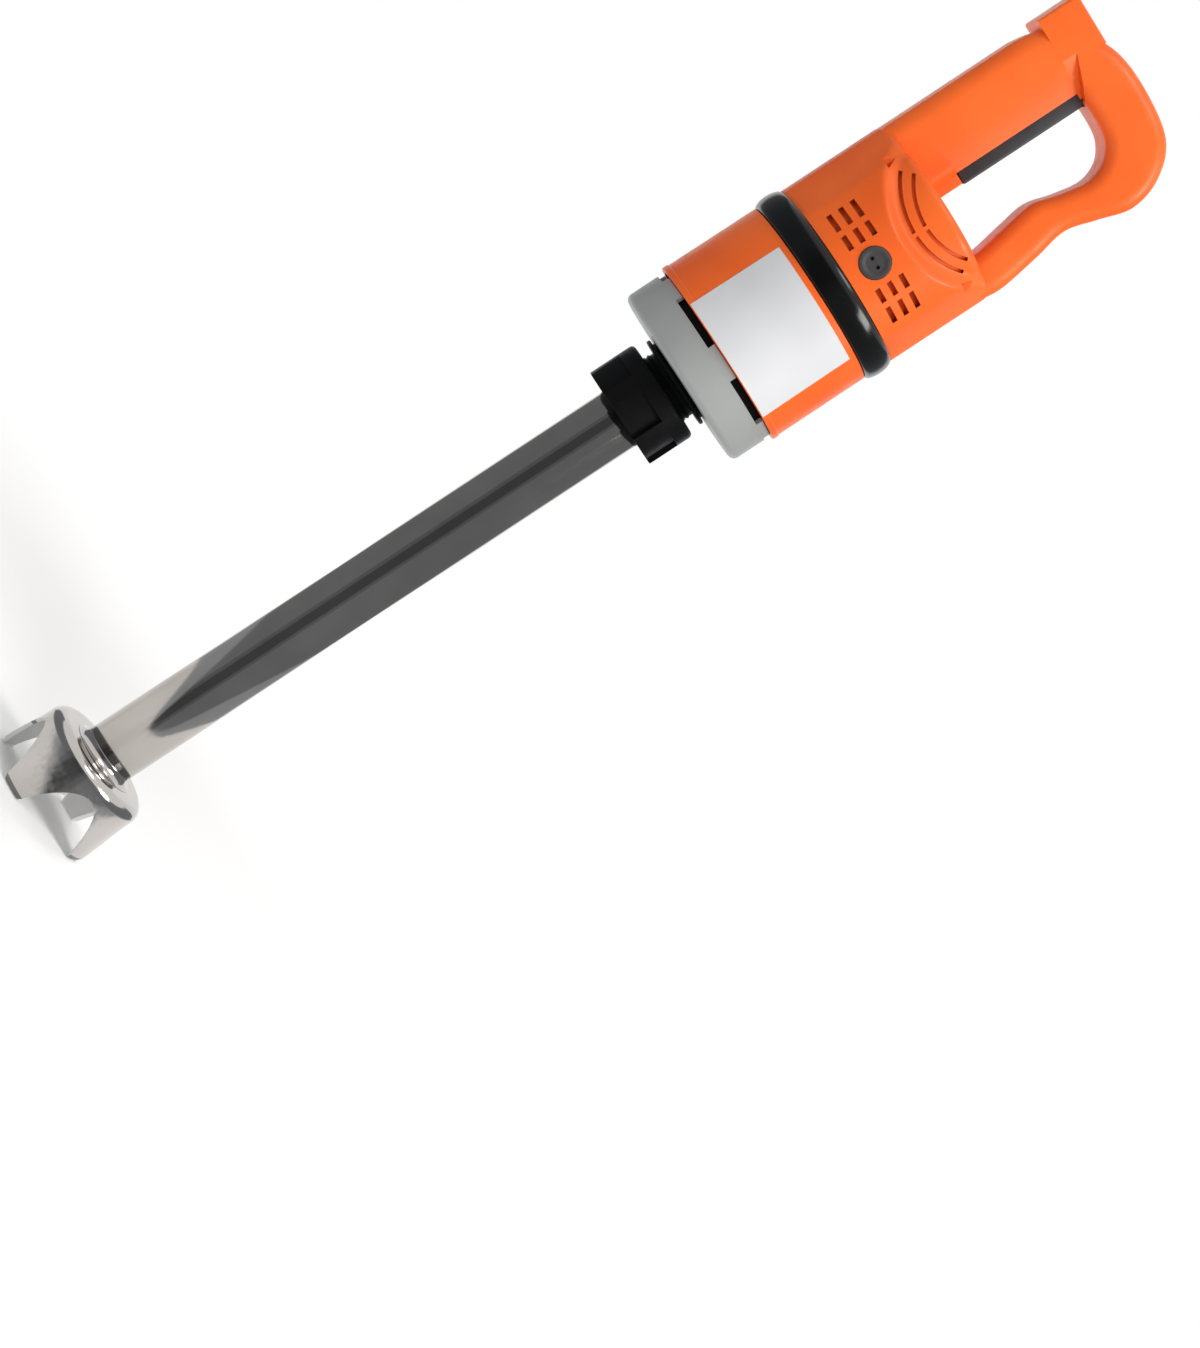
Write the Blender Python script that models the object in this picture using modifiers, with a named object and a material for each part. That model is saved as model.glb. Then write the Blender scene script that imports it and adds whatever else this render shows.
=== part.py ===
"""Commercial immersion blender: a D-handled motor head, a screw-on stainless tube and a four-legged blade guard.

Metres, +Z up along the tool's axis, blade down. The origin is on that axis in the plane of the guard's leg tips.
The bow of the handle is on +X, the straight grip on -X, and the housing splits in the plane y = 0.
"""

import math

import bmesh
import bpy
from mathutils import Matrix, Vector

# Fits and facets
GAP = 0.0003
CASING_ROUND = 36
ROUND = 28
SMALL_ROUND = 16
TINY_ROUND = 8

# Blade guard
TIP_RADIUS = 0.044
SHOULDER_RADIUS = 0.0414
SHOULDER_HEIGHT = 0.031
CROWN_CORNER = 0.015
GUARD_WALL = 0.0022
LEGS = 4
LEG_AZIMUTH = math.radians(-116.3)
NOTCH_HALF_WIDTH = 0.0244
NOTCH_HEIGHT = 0.034
HUB_RADIUS = 0.0115
HUB_DROP = 0.018
SPIGOT_LENGTH = 0.008

# Tube and its coupling
TUBE_RADIUS = 0.019
TUBE_WALL = 0.0015
TUBE_SHOWN = 0.3697
THREAD_RADIUS = 0.0223
NUT_WALL = 0.0101
NUT_RADIUS = THREAD_RADIUS + NUT_WALL
NUT_LENGTH = 0.031
NUT_LIP = 0.005
NUT_CORNER = 0.003
NUT_RECESSES = 6
NUT_RECESS_LENGTH = 0.020
NUT_RECESS_DEPTH = 0.0034
NUT_RECESS_SPAN = math.radians(42)
NUT_RECESS_AZIMUTH = math.radians(-68)
COLLAR_THICKNESS = 0.0055
GASKET_THICKNESS = 0.0012
SOCKET_DEPTH = 0.006
THREAD_SHOWN = 0.007
FLANGE_RADIUS = 0.0294
FLANGE_THICKNESS = 0.0025
NECK_RADIUS = 0.026
NECK_STEP = 0.0015

# Drive
DRIVE_SHAFT_RADIUS = 0.004
SHOULDER_SHAFT_RADIUS = 0.005
STUD_RADIUS = 0.003
BUSH_WALL = 0.003
BUSH_LENGTH = 0.014
SEAL_LENGTH = 0.006
SEAL_WALL = 0.004
BLADE_RADIUS = 0.034
BLADE_HALF_WIDTH = 0.0065
BLADE_THICKNESS = 0.0025
BLADE_LIFT = 0.004
BLADE_HEIGHT = 0.0198
BLADE_NUT_FLATS = 0.010
BLADE_NUT_HEIGHT = 0.006
DOG_FLATS = 0.014
DOG_LENGTH = 0.010
DOG_CLEARANCE = 0.0004
SOCKET_RADIUS = 0.012

# Motor head, sized outward from the stator
STATOR_RADIUS = 0.046
STATOR_TO_CASING = 0.014
CASING_RADIUS = STATOR_RADIUS + STATOR_TO_CASING
COVER_STEP = 0.002
COVER_RADIUS = CASING_RADIUS - COVER_STEP
COVER_LENGTH = 0.0275
COVER_WALL = 0.003
COVER_CORNER = 0.003
COVER_HUB_LENGTH = 0.010
AIR_SLOTS = 6
AIR_SLOT_WIDTH = 0.0045
AIR_SLOT_SPAN = math.radians(37)
BARREL_PROUD = 0.0007
BARREL_RADIUS = CASING_RADIUS + BARREL_PROUD
RING_SIDE_STEP = 0.0002
BARREL_REAR_RADIUS = CASING_RADIUS - RING_SIDE_STEP
BARREL_LENGTH = 0.0655
BARREL_WALL = 0.0037
BARREL_BORE = BARREL_RADIUS - BARREL_WALL
BARREL_SPIGOT_WALL = 0.0025
BARREL_SPIGOT_LENGTH = 0.0238
BARREL_RIB = 0.005
RING_PROUD = 0.0027
RING_RADIUS = CASING_RADIUS + RING_PROUD
RING_WIDTH = 0.0182

# Handle housing
CASING_LENGTH = 0.0712
CASING_CORNER = 0.004
HOUSING_WALL = 0.0027
FLANK_INSET = 0.018
FLANK_START = CASING_RADIUS - FLANK_INSET
FLANK_HALF_ANGLE = math.radians(17.5)
INSET_DEPTH = 0.006
INSET_CENTRE = 0.0253
INSET_MARGIN = 0.001
INSET_OUTER = CASING_RADIUS + INSET_MARGIN
INSET_RAMP = 0.0077
INSET_INNER = INSET_OUTER - INSET_RAMP
HANDLE_HALF_WIDTH = 0.0195
HANDLE_ROUND = 0.010
LOOP_ROUND = 0.008
GRIP_INSET = 0.0009
GRIP_BACK = CASING_RADIUS - GRIP_INSET
GRIP_FRONT = 0.0129
LOOP_LENGTH = 0.1065
END_THICKNESS = 0.0349
HANDLE_LENGTH = LOOP_LENGTH + END_THICKNESS
END_DROP = 0.0066
END_FACE = HANDLE_LENGTH - END_DROP
BOW_OVERHANG = 0.0021
BOW_REACH = CASING_RADIUS + BOW_OVERHANG
WAIST_INSET = 0.0108
BOW_WAIST = BOW_REACH - WAIST_INSET
BELLY_BEFORE_END = 0.0077
BOW_BELLY_AT = LOOP_LENGTH - BELLY_BEFORE_END
WAIST_TO_BELLY = 0.042
BOW_WAIST_AT = BOW_BELLY_AT - WAIST_TO_BELLY
BELLY_THICKNESS = 0.0282
WAIST_THICKNESS = 0.0245
LUG_LENGTH = 0.0282
LUG_START = END_FACE - LUG_LENGTH
LUG_HEIGHT = 0.003
LUG_WIDTH = 0.0331
LUG_PROUD = 0.0005
GRIP_CHAMFER_START = 0.034
GRIP_CHAMFER_HALF_WIDTH = 0.011
LEDGE_DROP = 0.007

# Vents, pockets and cap
CAP_RADIUS = 0.0096
CAP_PIN_SPACING = 0.0062
CAP_PIN_RADIUS = 0.0011
BRUSH_HEIGHT = 0.0182
VENT_COLUMNS = 3
VENT_FIRST = 0.0095
VENT_PITCH = 0.008
VENT_WIDTH = 0.0034
VENT_ROWS = ((0.0135, 0.0225), (0.026, 0.0365))
ARC_MARGIN = 0.0034
ARC_PITCH = 0.0075
ARC_RADII = (INSET_INNER - ARC_MARGIN, INSET_INNER - ARC_MARGIN - ARC_PITCH)
ARC_WIDTH = 0.0023
ARC_HALF_GAP = 0.0013
ARC_END = math.radians(44)
POCKET_START = 0.056
POCKET_LENGTH = 0.011
POCKET_SIDES = (FLANK_START - 0.0024, FLANK_START + 0.0051)
POCKET_DEPTH = 0.005

# Trigger
TRIGGER_START = 0.0208
TRIGGER_TUCK = 0.0025
TRIGGER_LENGTH = LOOP_LENGTH + TRIGGER_TUCK - TRIGGER_START
TRIGGER_DROP = 0.0084
TRIGGER_HALF_WIDTH = 0.009
TRIGGER_DEPTH = 0.0125
PIVOT_AT = 0.015
PIVOT_DEPTH = 0.016
PIVOT_RADIUS = 0.005
PIN_RADIUS = 0.002
PIN_LENGTH = 0.030
TRIGGER_CLEARANCE = 0.0004
ARM_HALF_WIDTH = 0.0055
PLUNGER_AT = 0.049
PLUNGER_RADIUS = 0.003
SWITCH_LENGTH = 0.030
SWITCH_HALF_WIDTH = 0.0136
SWITCH_TO_TRIGGER = 0.013
SWITCH_FACE = GRIP_FRONT - TRIGGER_DROP + TRIGGER_DEPTH + SWITCH_TO_TRIGGER
GRIP_TO_SWITCH = 0.0101
SWITCH_BACK = GRIP_BACK - GRIP_TO_SWITCH
SWITCH_DEPTH = SWITCH_BACK - SWITCH_FACE
SPRING_WIRE_RADIUS = 0.0005
SPRING_COIL_RADIUS = 0.0034

# Motor
STATOR_LENGTH = 0.053
STATOR_START = 0.0065
YOKE_THICKNESS = 0.010
WINDOW_RADIUS = STATOR_RADIUS - YOKE_THICKNESS
POLE_HEIGHT = 0.0088
POLE_RADIUS = WINDOW_RADIUS - POLE_HEIGHT
POLE_HALF_ANGLE = math.radians(38)
COIL_HALF_ANGLE = math.radians(55)
COIL_END = 0.005
AIR_GAP = 0.0006
ARMATURE_SLOTS = 12
MOTOR_SHAFT_RADIUS = 0.006
REAR_JOURNAL_RADIUS = 0.005
COMMUTATOR_RADIUS = 0.0146
COMMUTATOR_LENGTH = 0.022
FRONT_BEARING_RADIUS = 0.014
REAR_BEARING_RADIUS = 0.013
BEARING_WIDTH = 0.008
FAN_INSET = 0.002
FAN_RADIUS = STATOR_RADIUS - FAN_INSET
FAN_LENGTH = 0.010
FAN_BLADES = 9
BOLT_RADIUS = 0.002
BOLT_CLEARANCE = 0.0015
BOLT_CIRCLE = STATOR_RADIUS + BOLT_RADIUS + BOLT_CLEARANCE
BOLT_HEAD_RADIUS = 0.0038
BOLT_HEAD = 0.003
BRACKET_THICKNESS = 0.005
BRUSH_LENGTH = 0.018
BRUSH_HALF_WIDTH = 0.0029
BRUSH_HALF_HEIGHT = 0.0039
HOLDER_WALL = 0.0015

# Housing screws, as (offset from the casing's rear face along Z, x)
CASING_SCREW_INSET = 0.011
CASING_SCREW_DEPTH = 0.019
LUG_SCREW_DEPTH = 0.0118
LUG_SCREW_X = -0.036
BELLY_SCREW_INSET = 0.0156
BELLY_SCREW_RISE = 0.0022
WAIST_SCREW_INSET = 0.0118
WAIST_SCREW_DROP = 0.0078
HOUSING_SCREWS = (
    (-CASING_SCREW_DEPTH, CASING_SCREW_INSET - CASING_RADIUS),
    (-CASING_SCREW_DEPTH, CASING_RADIUS - CASING_SCREW_INSET),
    (END_FACE - LUG_SCREW_DEPTH, LUG_SCREW_X),
    (BOW_BELLY_AT + BELLY_SCREW_RISE, BOW_REACH - BELLY_SCREW_INSET),
    (BOW_WAIST_AT - WAIST_SCREW_DROP, BOW_WAIST - WAIST_SCREW_INSET),
)
SCREW_RADIUS = 0.0016
SCREW_HEAD_RADIUS = 0.0032
SCREW_HEAD = 0.0025
SCREW_REACH = 0.012
BOSS_RADIUS = 0.005
INLET_RADIUS = 0.007
INLET_BORE = 0.0042
INLET_FLANGE = 0.002

# Heights that follow from the sizes above
GUARD_TOP = SHOULDER_HEIGHT + CROWN_CORNER
TUBE_BOTTOM = GUARD_TOP + GAP
NUT_BOTTOM = TUBE_BOTTOM + TUBE_SHOWN
NUT_TOP = NUT_BOTTOM + NUT_LENGTH
COLLAR_BOTTOM = NUT_BOTTOM + NUT_LIP + GAP
COLLAR_TOP = COLLAR_BOTTOM + COLLAR_THICKNESS
GASKET_BOTTOM = COLLAR_TOP + GAP
NECK_BOTTOM = GASKET_BOTTOM + GASKET_THICKNESS + GAP
TUBE_TOP = NECK_BOTTOM + SOCKET_DEPTH - GAP
FLANGE_BOTTOM = NUT_TOP + THREAD_SHOWN
COVER_FRONT = FLANGE_BOTTOM + FLANGE_THICKNESS + NECK_STEP
NECK_TOP = COVER_FRONT + BEARING_WIDTH
COVER_REAR = COVER_FRONT + COVER_LENGTH
BARREL_FRONT = COVER_REAR + GAP
BARREL_REAR = BARREL_FRONT + BARREL_LENGTH
RING_FRONT = BARREL_REAR + GAP
RING_REAR = RING_FRONT + RING_WIDTH
CASING_FRONT = RING_REAR + GAP
CASING_REAR = CASING_FRONT + CASING_LENGTH
SPIGOT_REAR = BARREL_REAR + BARREL_SPIGOT_LENGTH
BRUSH_Z = CASING_FRONT + BRUSH_HEIGHT
STATOR_BOTTOM = BARREL_FRONT + STATOR_START
STATOR_TOP = STATOR_BOTTOM + STATOR_LENGTH
DOG_BOTTOM = TUBE_TOP + 0.0022
DOG_TOP = DOG_BOTTOM + DOG_LENGTH
SOCKET_BOTTOM = TUBE_TOP + 0.0017
SOCKET_TOP = COVER_FRONT - 2 * GAP
MOTOR_SHAFT_BOTTOM = DOG_TOP + 0.0015
FRONT_BEARING_BOTTOM = COVER_FRONT
BRACKET_BOTTOM = BRUSH_Z + 0.013
REAR_BEARING_BOTTOM = BRACKET_BOTTOM + 0.0033
PIVOT = Vector((-PIVOT_DEPTH, 0, CASING_REAR + PIVOT_AT))
CASING_BORE = CASING_RADIUS - HOUSING_WALL
FLANK_REACH = CASING_RADIUS * math.cos(FLANK_HALF_ANGLE)
SPIGOT_RADIUS = FLANK_REACH - HOUSING_WALL - GAP
INLET_X = -(GRIP_BACK + LUG_HEIGHT) + LUG_WIDTH / 2

# Side view: local x and y become world X and Z, and the thickness runs along Y
SIDE = Matrix.Rotation(math.radians(90), 4, "X")

# Turns the round casing by half a facet, so that a facet and not an edge lies on the housing's split
HALF_STEP = Matrix.Rotation(math.pi / CASING_ROUND, 4, "Z")


def clear_scene():
    for old in list(bpy.data.objects):
        bpy.data.objects.remove(old)


def new_collection(name):
    collection = bpy.data.collections.new(name)
    bpy.context.scene.collection.children.link(collection)
    return collection


clear_scene()
PARTS = new_collection("immersion_blender")
CUTTERS = new_collection("cutters")


def material(name, colour, roughness, metallic=0.0):
    made = bpy.data.materials.new(name)
    made.use_nodes = True
    shader = made.node_tree.nodes["Principled BSDF"]
    shader.inputs["Base Color"].default_value = (*colour, 1)
    shader.inputs["Roughness"].default_value = roughness
    shader.inputs["Metallic"].default_value = metallic
    return made


ORANGE = material("orange_housing", (0.87, 0.13, 0.02), 0.38)
GREY = material("grey_cover", (0.36, 0.37, 0.38), 0.5)
BLACK = material("black_plastic", (0.02, 0.02, 0.022), 0.45)
RUBBER = material("black_rubber", (0.012, 0.012, 0.012), 0.6)
STAINLESS = material("stainless", (0.62, 0.6, 0.58), 0.2, 1.0)
STEEL = material("bright_steel", (0.5, 0.5, 0.5), 0.3, 1.0)
BRONZE = material("bronze_bush", (0.45, 0.26, 0.1), 0.4, 1.0)
BRASS = material("brass", (0.7, 0.5, 0.16), 0.35, 1.0)
COPPER = material("copper_winding", (0.7, 0.25, 0.1), 0.35, 1.0)
LAMINATION = material("lamination_steel", (0.2, 0.2, 0.21), 0.5, 1.0)
CARBON = material("carbon", (0.03, 0.03, 0.03), 0.7)


def add(name, mesh, finish=None):
    """Links a mesh as a part, or as a hidden cutter where it has no finish."""
    made = bpy.data.objects.new(name, mesh)
    if finish:
        mesh.materials.append(finish)
        PARTS.objects.link(made)
    else:
        CUTTERS.objects.link(made)
        made.hide_render = True
        made.display_type = "WIRE"
    return made


def finish_mesh(name, shape, place=None):
    shape.normal_update()
    bmesh.ops.recalc_face_normals(shape, faces=shape.faces)
    mesh = bpy.data.meshes.new(name)
    shape.to_mesh(mesh)
    shape.free()
    if place:
        mesh.transform(place)
    return mesh


def turned(name, profile, steps, finish=None, place=None):
    """Turns a closed profile of (radius, height) points about Z with a Screw modifier."""
    ends = list(zip(profile, profile[1:] + profile[:1]))
    if sum(a[0] * b[1] - b[0] * a[1] for a, b in ends) > 0:
        profile = profile[::-1]
    count = len(profile)
    edges = [(i, (i + 1) % count) for i in range(count)]
    edges = [(i, j) for i, j in edges if profile[i][0] > 0 or profile[j][0] > 0]
    mesh = bpy.data.meshes.new(name)
    mesh.from_pydata([(radius, 0, height) for radius, height in profile], edges, [])
    made = add(name, mesh, finish)
    screw = made.modifiers.new("turn", "SCREW")
    screw.steps = screw.render_steps = steps
    screw.use_merge_vertices = True
    screw.merge_threshold = 0.00001
    if place:
        made.matrix_world = place
    return made


def tube(name, inner, outer, bottom, top, steps, finish=None, place=None):
    profile = [(outer, top), (outer, bottom), (inner, bottom), (inner, top)]
    return turned(name, profile, steps, finish, place)


def rod(name, radius, bottom, top, steps, finish=None, place=None):
    profile = [(0, top), (radius, top), (radius, bottom), (0, bottom)]
    return turned(name, profile, steps, finish, place)


def flat(name, loops, low, high, finish=None, place=None):
    """Extrudes a flat outline, with any holes, from one level to another."""
    shape = bmesh.new()
    for loop in loops:
        verts = [shape.verts.new((x, y, low)) for x, y in loop]
        for one, other in zip(verts, verts[1:] + verts[:1]):
            shape.edges.new((one, other))
    bmesh.ops.triangle_fill(shape, edges=shape.edges[:], use_beauty=True, use_dissolve=True)
    grown = bmesh.ops.extrude_face_region(shape, geom=shape.faces[:])["geom"]
    lifted = [item for item in grown if isinstance(item, bmesh.types.BMVert)]
    bmesh.ops.translate(shape, vec=(0, 0, high - low), verts=lifted)
    return add(name, finish_mesh(name, shape, place), finish)


def box(name, low, high, finish=None):
    shape = bmesh.new()
    bmesh.ops.create_cube(shape, size=1)
    size = [b - a for a, b in zip(low, high)]
    middle = [(a + b) / 2 for a, b in zip(low, high)]
    bmesh.ops.scale(shape, vec=size, verts=shape.verts)
    bmesh.ops.translate(shape, vec=middle, verts=shape.verts)
    return add(name, finish_mesh(name, shape), finish)


def circle(radius, count, centre=(0, 0)):
    turns = [math.tau * i / count for i in range(count)]
    return [(centre[0] + radius * math.cos(t), centre[1] + radius * math.sin(t)) for t in turns]


def hexagon(flats):
    return [(x, y) for x, y in circle(flats / math.sqrt(3), 6)]


def sector(inner, outer, middle, half_angle, steps):
    """The outline of a slice of a ring about the origin."""
    turns = [middle + half_angle * (2 * i / steps - 1) for i in range(steps + 1)]
    far = [(outer * math.cos(t), outer * math.sin(t)) for t in turns]
    near = [(inner * math.cos(t), inner * math.sin(t)) for t in reversed(turns)]
    return far + near


def combine(target, operation, *others):
    for other in others:
        step = target.modifiers.new(other.name, "BOOLEAN")
        step.operation = operation
        step.object = other
    return target


def cut(target, *others):
    return combine(target, "DIFFERENCE", *others)


def join(target, *others):
    return combine(target, "UNION", *others)


def freeze(made):
    """Makes an object's modifiers part of its mesh, for a form that several pieces use."""
    bpy.context.view_layer.update()
    graph = bpy.context.evaluated_depsgraph_get()
    mesh = bpy.data.meshes.new_from_object(made.evaluated_get(graph))
    made.modifiers.clear()
    made.data = mesh
    return made


def gather(name, pieces):
    """Makes one cutter of several that don't touch each other."""
    shape = bmesh.new()
    for piece in pieces:
        place = piece.matrix_world.copy()
        mesh = freeze(piece).data
        mesh.transform(place)
        shape.from_mesh(mesh)
        bpy.data.objects.remove(piece)
    mesh = bpy.data.meshes.new(name)
    shape.to_mesh(mesh)
    shape.free()
    return add(name, mesh)


def set_origin(made, point):
    made.data.transform(Matrix.Translation(-point))
    made.location = point


def parent_all(empty_name, point, pieces):
    holder = bpy.data.objects.new(empty_name, None)
    holder.empty_display_size = 0.02
    holder.location = point
    PARTS.objects.link(holder)
    for piece in pieces:
        piece.parent = holder
        piece.matrix_parent_inverse = Matrix.Translation(-Vector(point))
    return holder


def along_y(x, z, direction=1):
    """Places a shape that is turned about Z so that its axis runs along Y through (x, z)."""
    return Matrix.Translation((x, 0, z)) @ Matrix.Rotation(math.radians(-90 * direction), 4, "X")


def smooth_run(points, steps):
    """A Catmull-Rom curve through the points."""
    ends = [points[0]] + list(points) + [points[-1]]
    run = []
    for a, b, c, d in zip(ends, ends[1:], ends[2:], ends[3:]):
        for step in range(steps):
            t = step / steps
            weights = (
                -0.5 * t + t * t - 0.5 * t**3,
                1 - 2.5 * t * t + 1.5 * t**3,
                0.5 * t + 2 * t * t - 1.5 * t**3,
                -0.5 * t * t + 0.5 * t**3,
            )
            run.append(tuple(sum(w * p[k] for w, p in zip(weights, (a, b, c, d))) for k in (0, 1)))
    return run + [tuple(points[-1])]


def offset_loop(loop, distance):
    """Moves each side of a closed anticlockwise loop inward by the distance."""
    moved = []
    count = len(loop)
    for i in range(count):
        before, here, after = (Vector(loop[k % count]) for k in (i - 1, i, i + 1))
        first = (here - before).normalized()
        second = (after - here).normalized()
        inward = Vector((-first.y, first.x)) + Vector((-second.y, second.x))
        inward.normalize()
        reach = distance / max(inward.dot(Vector((-first.y, first.x))), 0.5)
        moved.append(tuple(here + inward * reach))
    return moved


def rounded_slab(name, outer, hole, half_width, outer_round, hole_round, steps=2):
    """A slab with a hole, both rims rounded: offset outlines are lofted over the edge and then filled."""
    shape = bmesh.new()
    levels = [math.radians(90) * i / steps for i in range(steps + 1)]
    rings = {}
    for key, loop, radius, sign in (("outer", outer, outer_round, 1), ("hole", hole, hole_round, -1)):
        stack = []
        for angle in levels:
            moved = offset_loop(loop, sign * radius * (1 - math.cos(angle)))
            height = half_width - radius + radius * math.sin(angle)
            stack.append([(x, y, height) for x, y in moved])
        stack = [[(x, y, -z) for x, y, z in ring] for ring in reversed(stack)] + stack
        rings[key] = [[shape.verts.new(point) for point in ring] for ring in stack]
        for low, high in zip(rings[key], rings[key][1:]):
            count = len(low)
            for i in range(count):
                j = (i + 1) % count
                shape.faces.new((low[i], low[j], high[j], high[i]))
    for end in (0, -1):
        rim = []
        for key in rings:
            ring = rings[key][end]
            rim += [shape.edges.get((a, b)) for a, b in zip(ring, ring[1:] + ring[:1])]
        bmesh.ops.triangle_fill(shape, edges=rim, use_beauty=True)
    return add(name, finish_mesh(name, shape, SIDE))


def make_blade_guard():
    """Turned bell with a welded hub, and an arch cut between each two legs."""
    corner = []
    for i in range(4):
        angle = math.radians(90) * i / 3
        across = SHOULDER_RADIUS - CROWN_CORNER * (1 - math.cos(angle))
        corner.append((across, SHOULDER_HEIGHT + CROWN_CORNER * math.sin(angle)))
    inner_corner = CROWN_CORNER - GUARD_WALL
    inside = []
    for i in range(3):
        angle = math.radians(90) * i / 2
        across = SHOULDER_RADIUS - GUARD_WALL - inner_corner * (1 - math.cos(angle))
        inside.append((across, SHOULDER_HEIGHT + inner_corner * math.sin(angle)))
    spigot = TUBE_RADIUS - TUBE_WALL - GAP
    bush_bore = DRIVE_SHAFT_RADIUS + GAP + BUSH_WALL + GAP
    seal_bore = DRIVE_SHAFT_RADIUS + GAP + SEAL_WALL + GAP
    hub_bottom = GUARD_TOP - HUB_DROP
    seal_top = hub_bottom + SEAL_LENGTH + GAP
    profile = [(TIP_RADIUS, 0)] + corner
    profile += [(spigot, GUARD_TOP), (spigot, GUARD_TOP + SPIGOT_LENGTH), (bush_bore, GUARD_TOP + SPIGOT_LENGTH)]
    profile += [(bush_bore, seal_top), (seal_bore, seal_top), (seal_bore, hub_bottom), (HUB_RADIUS, hub_bottom)]
    profile += [(HUB_RADIUS, GUARD_TOP - GUARD_WALL)] + inside[::-1] + [(TIP_RADIUS - GUARD_WALL, 0)]
    guard = turned("blade_guard", profile, 32, STAINLESS)
    heights = [NOTCH_HEIGHT * math.sin(math.radians(90) * i / 5) for i in range(6)]
    widths = [NOTCH_HALF_WIDTH * math.sqrt(1 - (h / NOTCH_HEIGHT) ** 1.2) for h in heights]
    side = list(zip(widths, heights))
    arch = [(NOTCH_HALF_WIDTH, -GUARD_WALL)] + side + [(-w, h) for w, h in side[-2::-1]]
    arch.append((-NOTCH_HALF_WIDTH, -GUARD_WALL))
    for leg in range(LEGS):
        turn = LEG_AZIMUTH + math.tau * (leg + 0.5) / LEGS + math.radians(90)
        place = Matrix.Rotation(turn, 4, "Z") @ SIDE
        cut(guard, flat(f"leg_notch_{leg + 1}", [arch], HUB_RADIUS + 0.01, TIP_RADIUS + 0.01, place=place))
    return guard


def make_bush(name, bottom, length, wall, finish):
    inner = DRIVE_SHAFT_RADIUS + GAP
    return tube(name, inner, inner + wall, bottom, bottom + length, 12, finish)


def make_shaft_assembly():
    inner_tube = TUBE_RADIUS - TUBE_WALL
    carrier_outer = inner_tube - GAP
    carrier_bore = DRIVE_SHAFT_RADIUS + GAP + BUSH_WALL + GAP
    carrier_top = TUBE_TOP - GAP
    carrier_bottom = carrier_top - BUSH_LENGTH
    middle = (TUBE_BOTTOM + TUBE_TOP) / 2
    hub_bottom = GUARD_TOP - HUB_DROP
    pieces = [
        make_blade_guard(),
        tube("shaft_tube", inner_tube, TUBE_RADIUS, TUBE_BOTTOM, TUBE_TOP, ROUND, STAINLESS),
        tube("tube_collar", TUBE_RADIUS + GAP, THREAD_RADIUS, COLLAR_BOTTOM, COLLAR_TOP, ROUND, STAINLESS),
        tube("collar_gasket", TUBE_RADIUS + GAP, THREAD_RADIUS - GAP, GASKET_BOTTOM,
             GASKET_BOTTOM + GASKET_THICKNESS, ROUND, RUBBER),
        tube("upper_bush_carrier", carrier_bore, carrier_outer, carrier_bottom, carrier_top, SMALL_ROUND, BLACK),
        make_bush("upper_bush", carrier_bottom, BUSH_LENGTH, BUSH_WALL, BRONZE),
        tube("middle_bush", DRIVE_SHAFT_RADIUS + GAP, carrier_outer, middle - BUSH_LENGTH / 2,
             middle + BUSH_LENGTH / 2, SMALL_ROUND, BLACK),
        make_bush("lower_bush", hub_bottom + SEAL_LENGTH + 2 * GAP, BUSH_LENGTH, BUSH_WALL, BRONZE),
        make_bush("shaft_seal", hub_bottom, SEAL_LENGTH, SEAL_WALL, RUBBER),
    ]
    parent_all("shaft_release_axis", (0, 0, 0), pieces)


def make_coupling_nut():
    """Cap nut with six ratchet-shaped finger recesses, open to the tube side."""
    bore = THREAD_RADIUS + GAP + 0.0001
    lip_bore = TUBE_RADIUS + 0.0008
    profile = [
        (bore, NUT_TOP),
        (NUT_RADIUS - NUT_CORNER, NUT_TOP),
        (NUT_RADIUS - NUT_CORNER * 0.3, NUT_TOP - NUT_CORNER * 0.3),
        (NUT_RADIUS, NUT_TOP - NUT_CORNER),
        (NUT_RADIUS, NUT_BOTTOM + NUT_CORNER * 0.3),
        (NUT_RADIUS - NUT_CORNER * 0.3, NUT_BOTTOM),
        (lip_bore, NUT_BOTTOM),
        (lip_bore, NUT_BOTTOM + NUT_LIP),
        (bore, NUT_BOTTOM + NUT_LIP),
    ]
    nut = turned("coupling_nut", profile, 30, BLACK)
    deep = NUT_RADIUS - NUT_RECESS_DEPTH
    reach = NUT_RADIUS * 1.3
    start = (NUT_RADIUS * math.cos(-NUT_RECESS_SPAN), NUT_RADIUS * math.sin(-NUT_RECESS_SPAN))
    far = (reach * math.cos(-NUT_RECESS_SPAN), reach * math.sin(-NUT_RECESS_SPAN))
    for i in range(NUT_RECESSES):
        place = Matrix.Rotation(NUT_RECESS_AZIMUTH + math.tau * i / NUT_RECESSES, 4, "Z")
        outline = [(deep, 0), (reach, 0), far, start]
        cut(nut, flat(f"nut_recess_{i + 1}", [outline], NUT_BOTTOM - 0.002, NUT_BOTTOM + NUT_RECESS_LENGTH,
                      place=place))
    parent_all("nut_turn_axis", (0, 0, NUT_BOTTOM), [nut])


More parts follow.
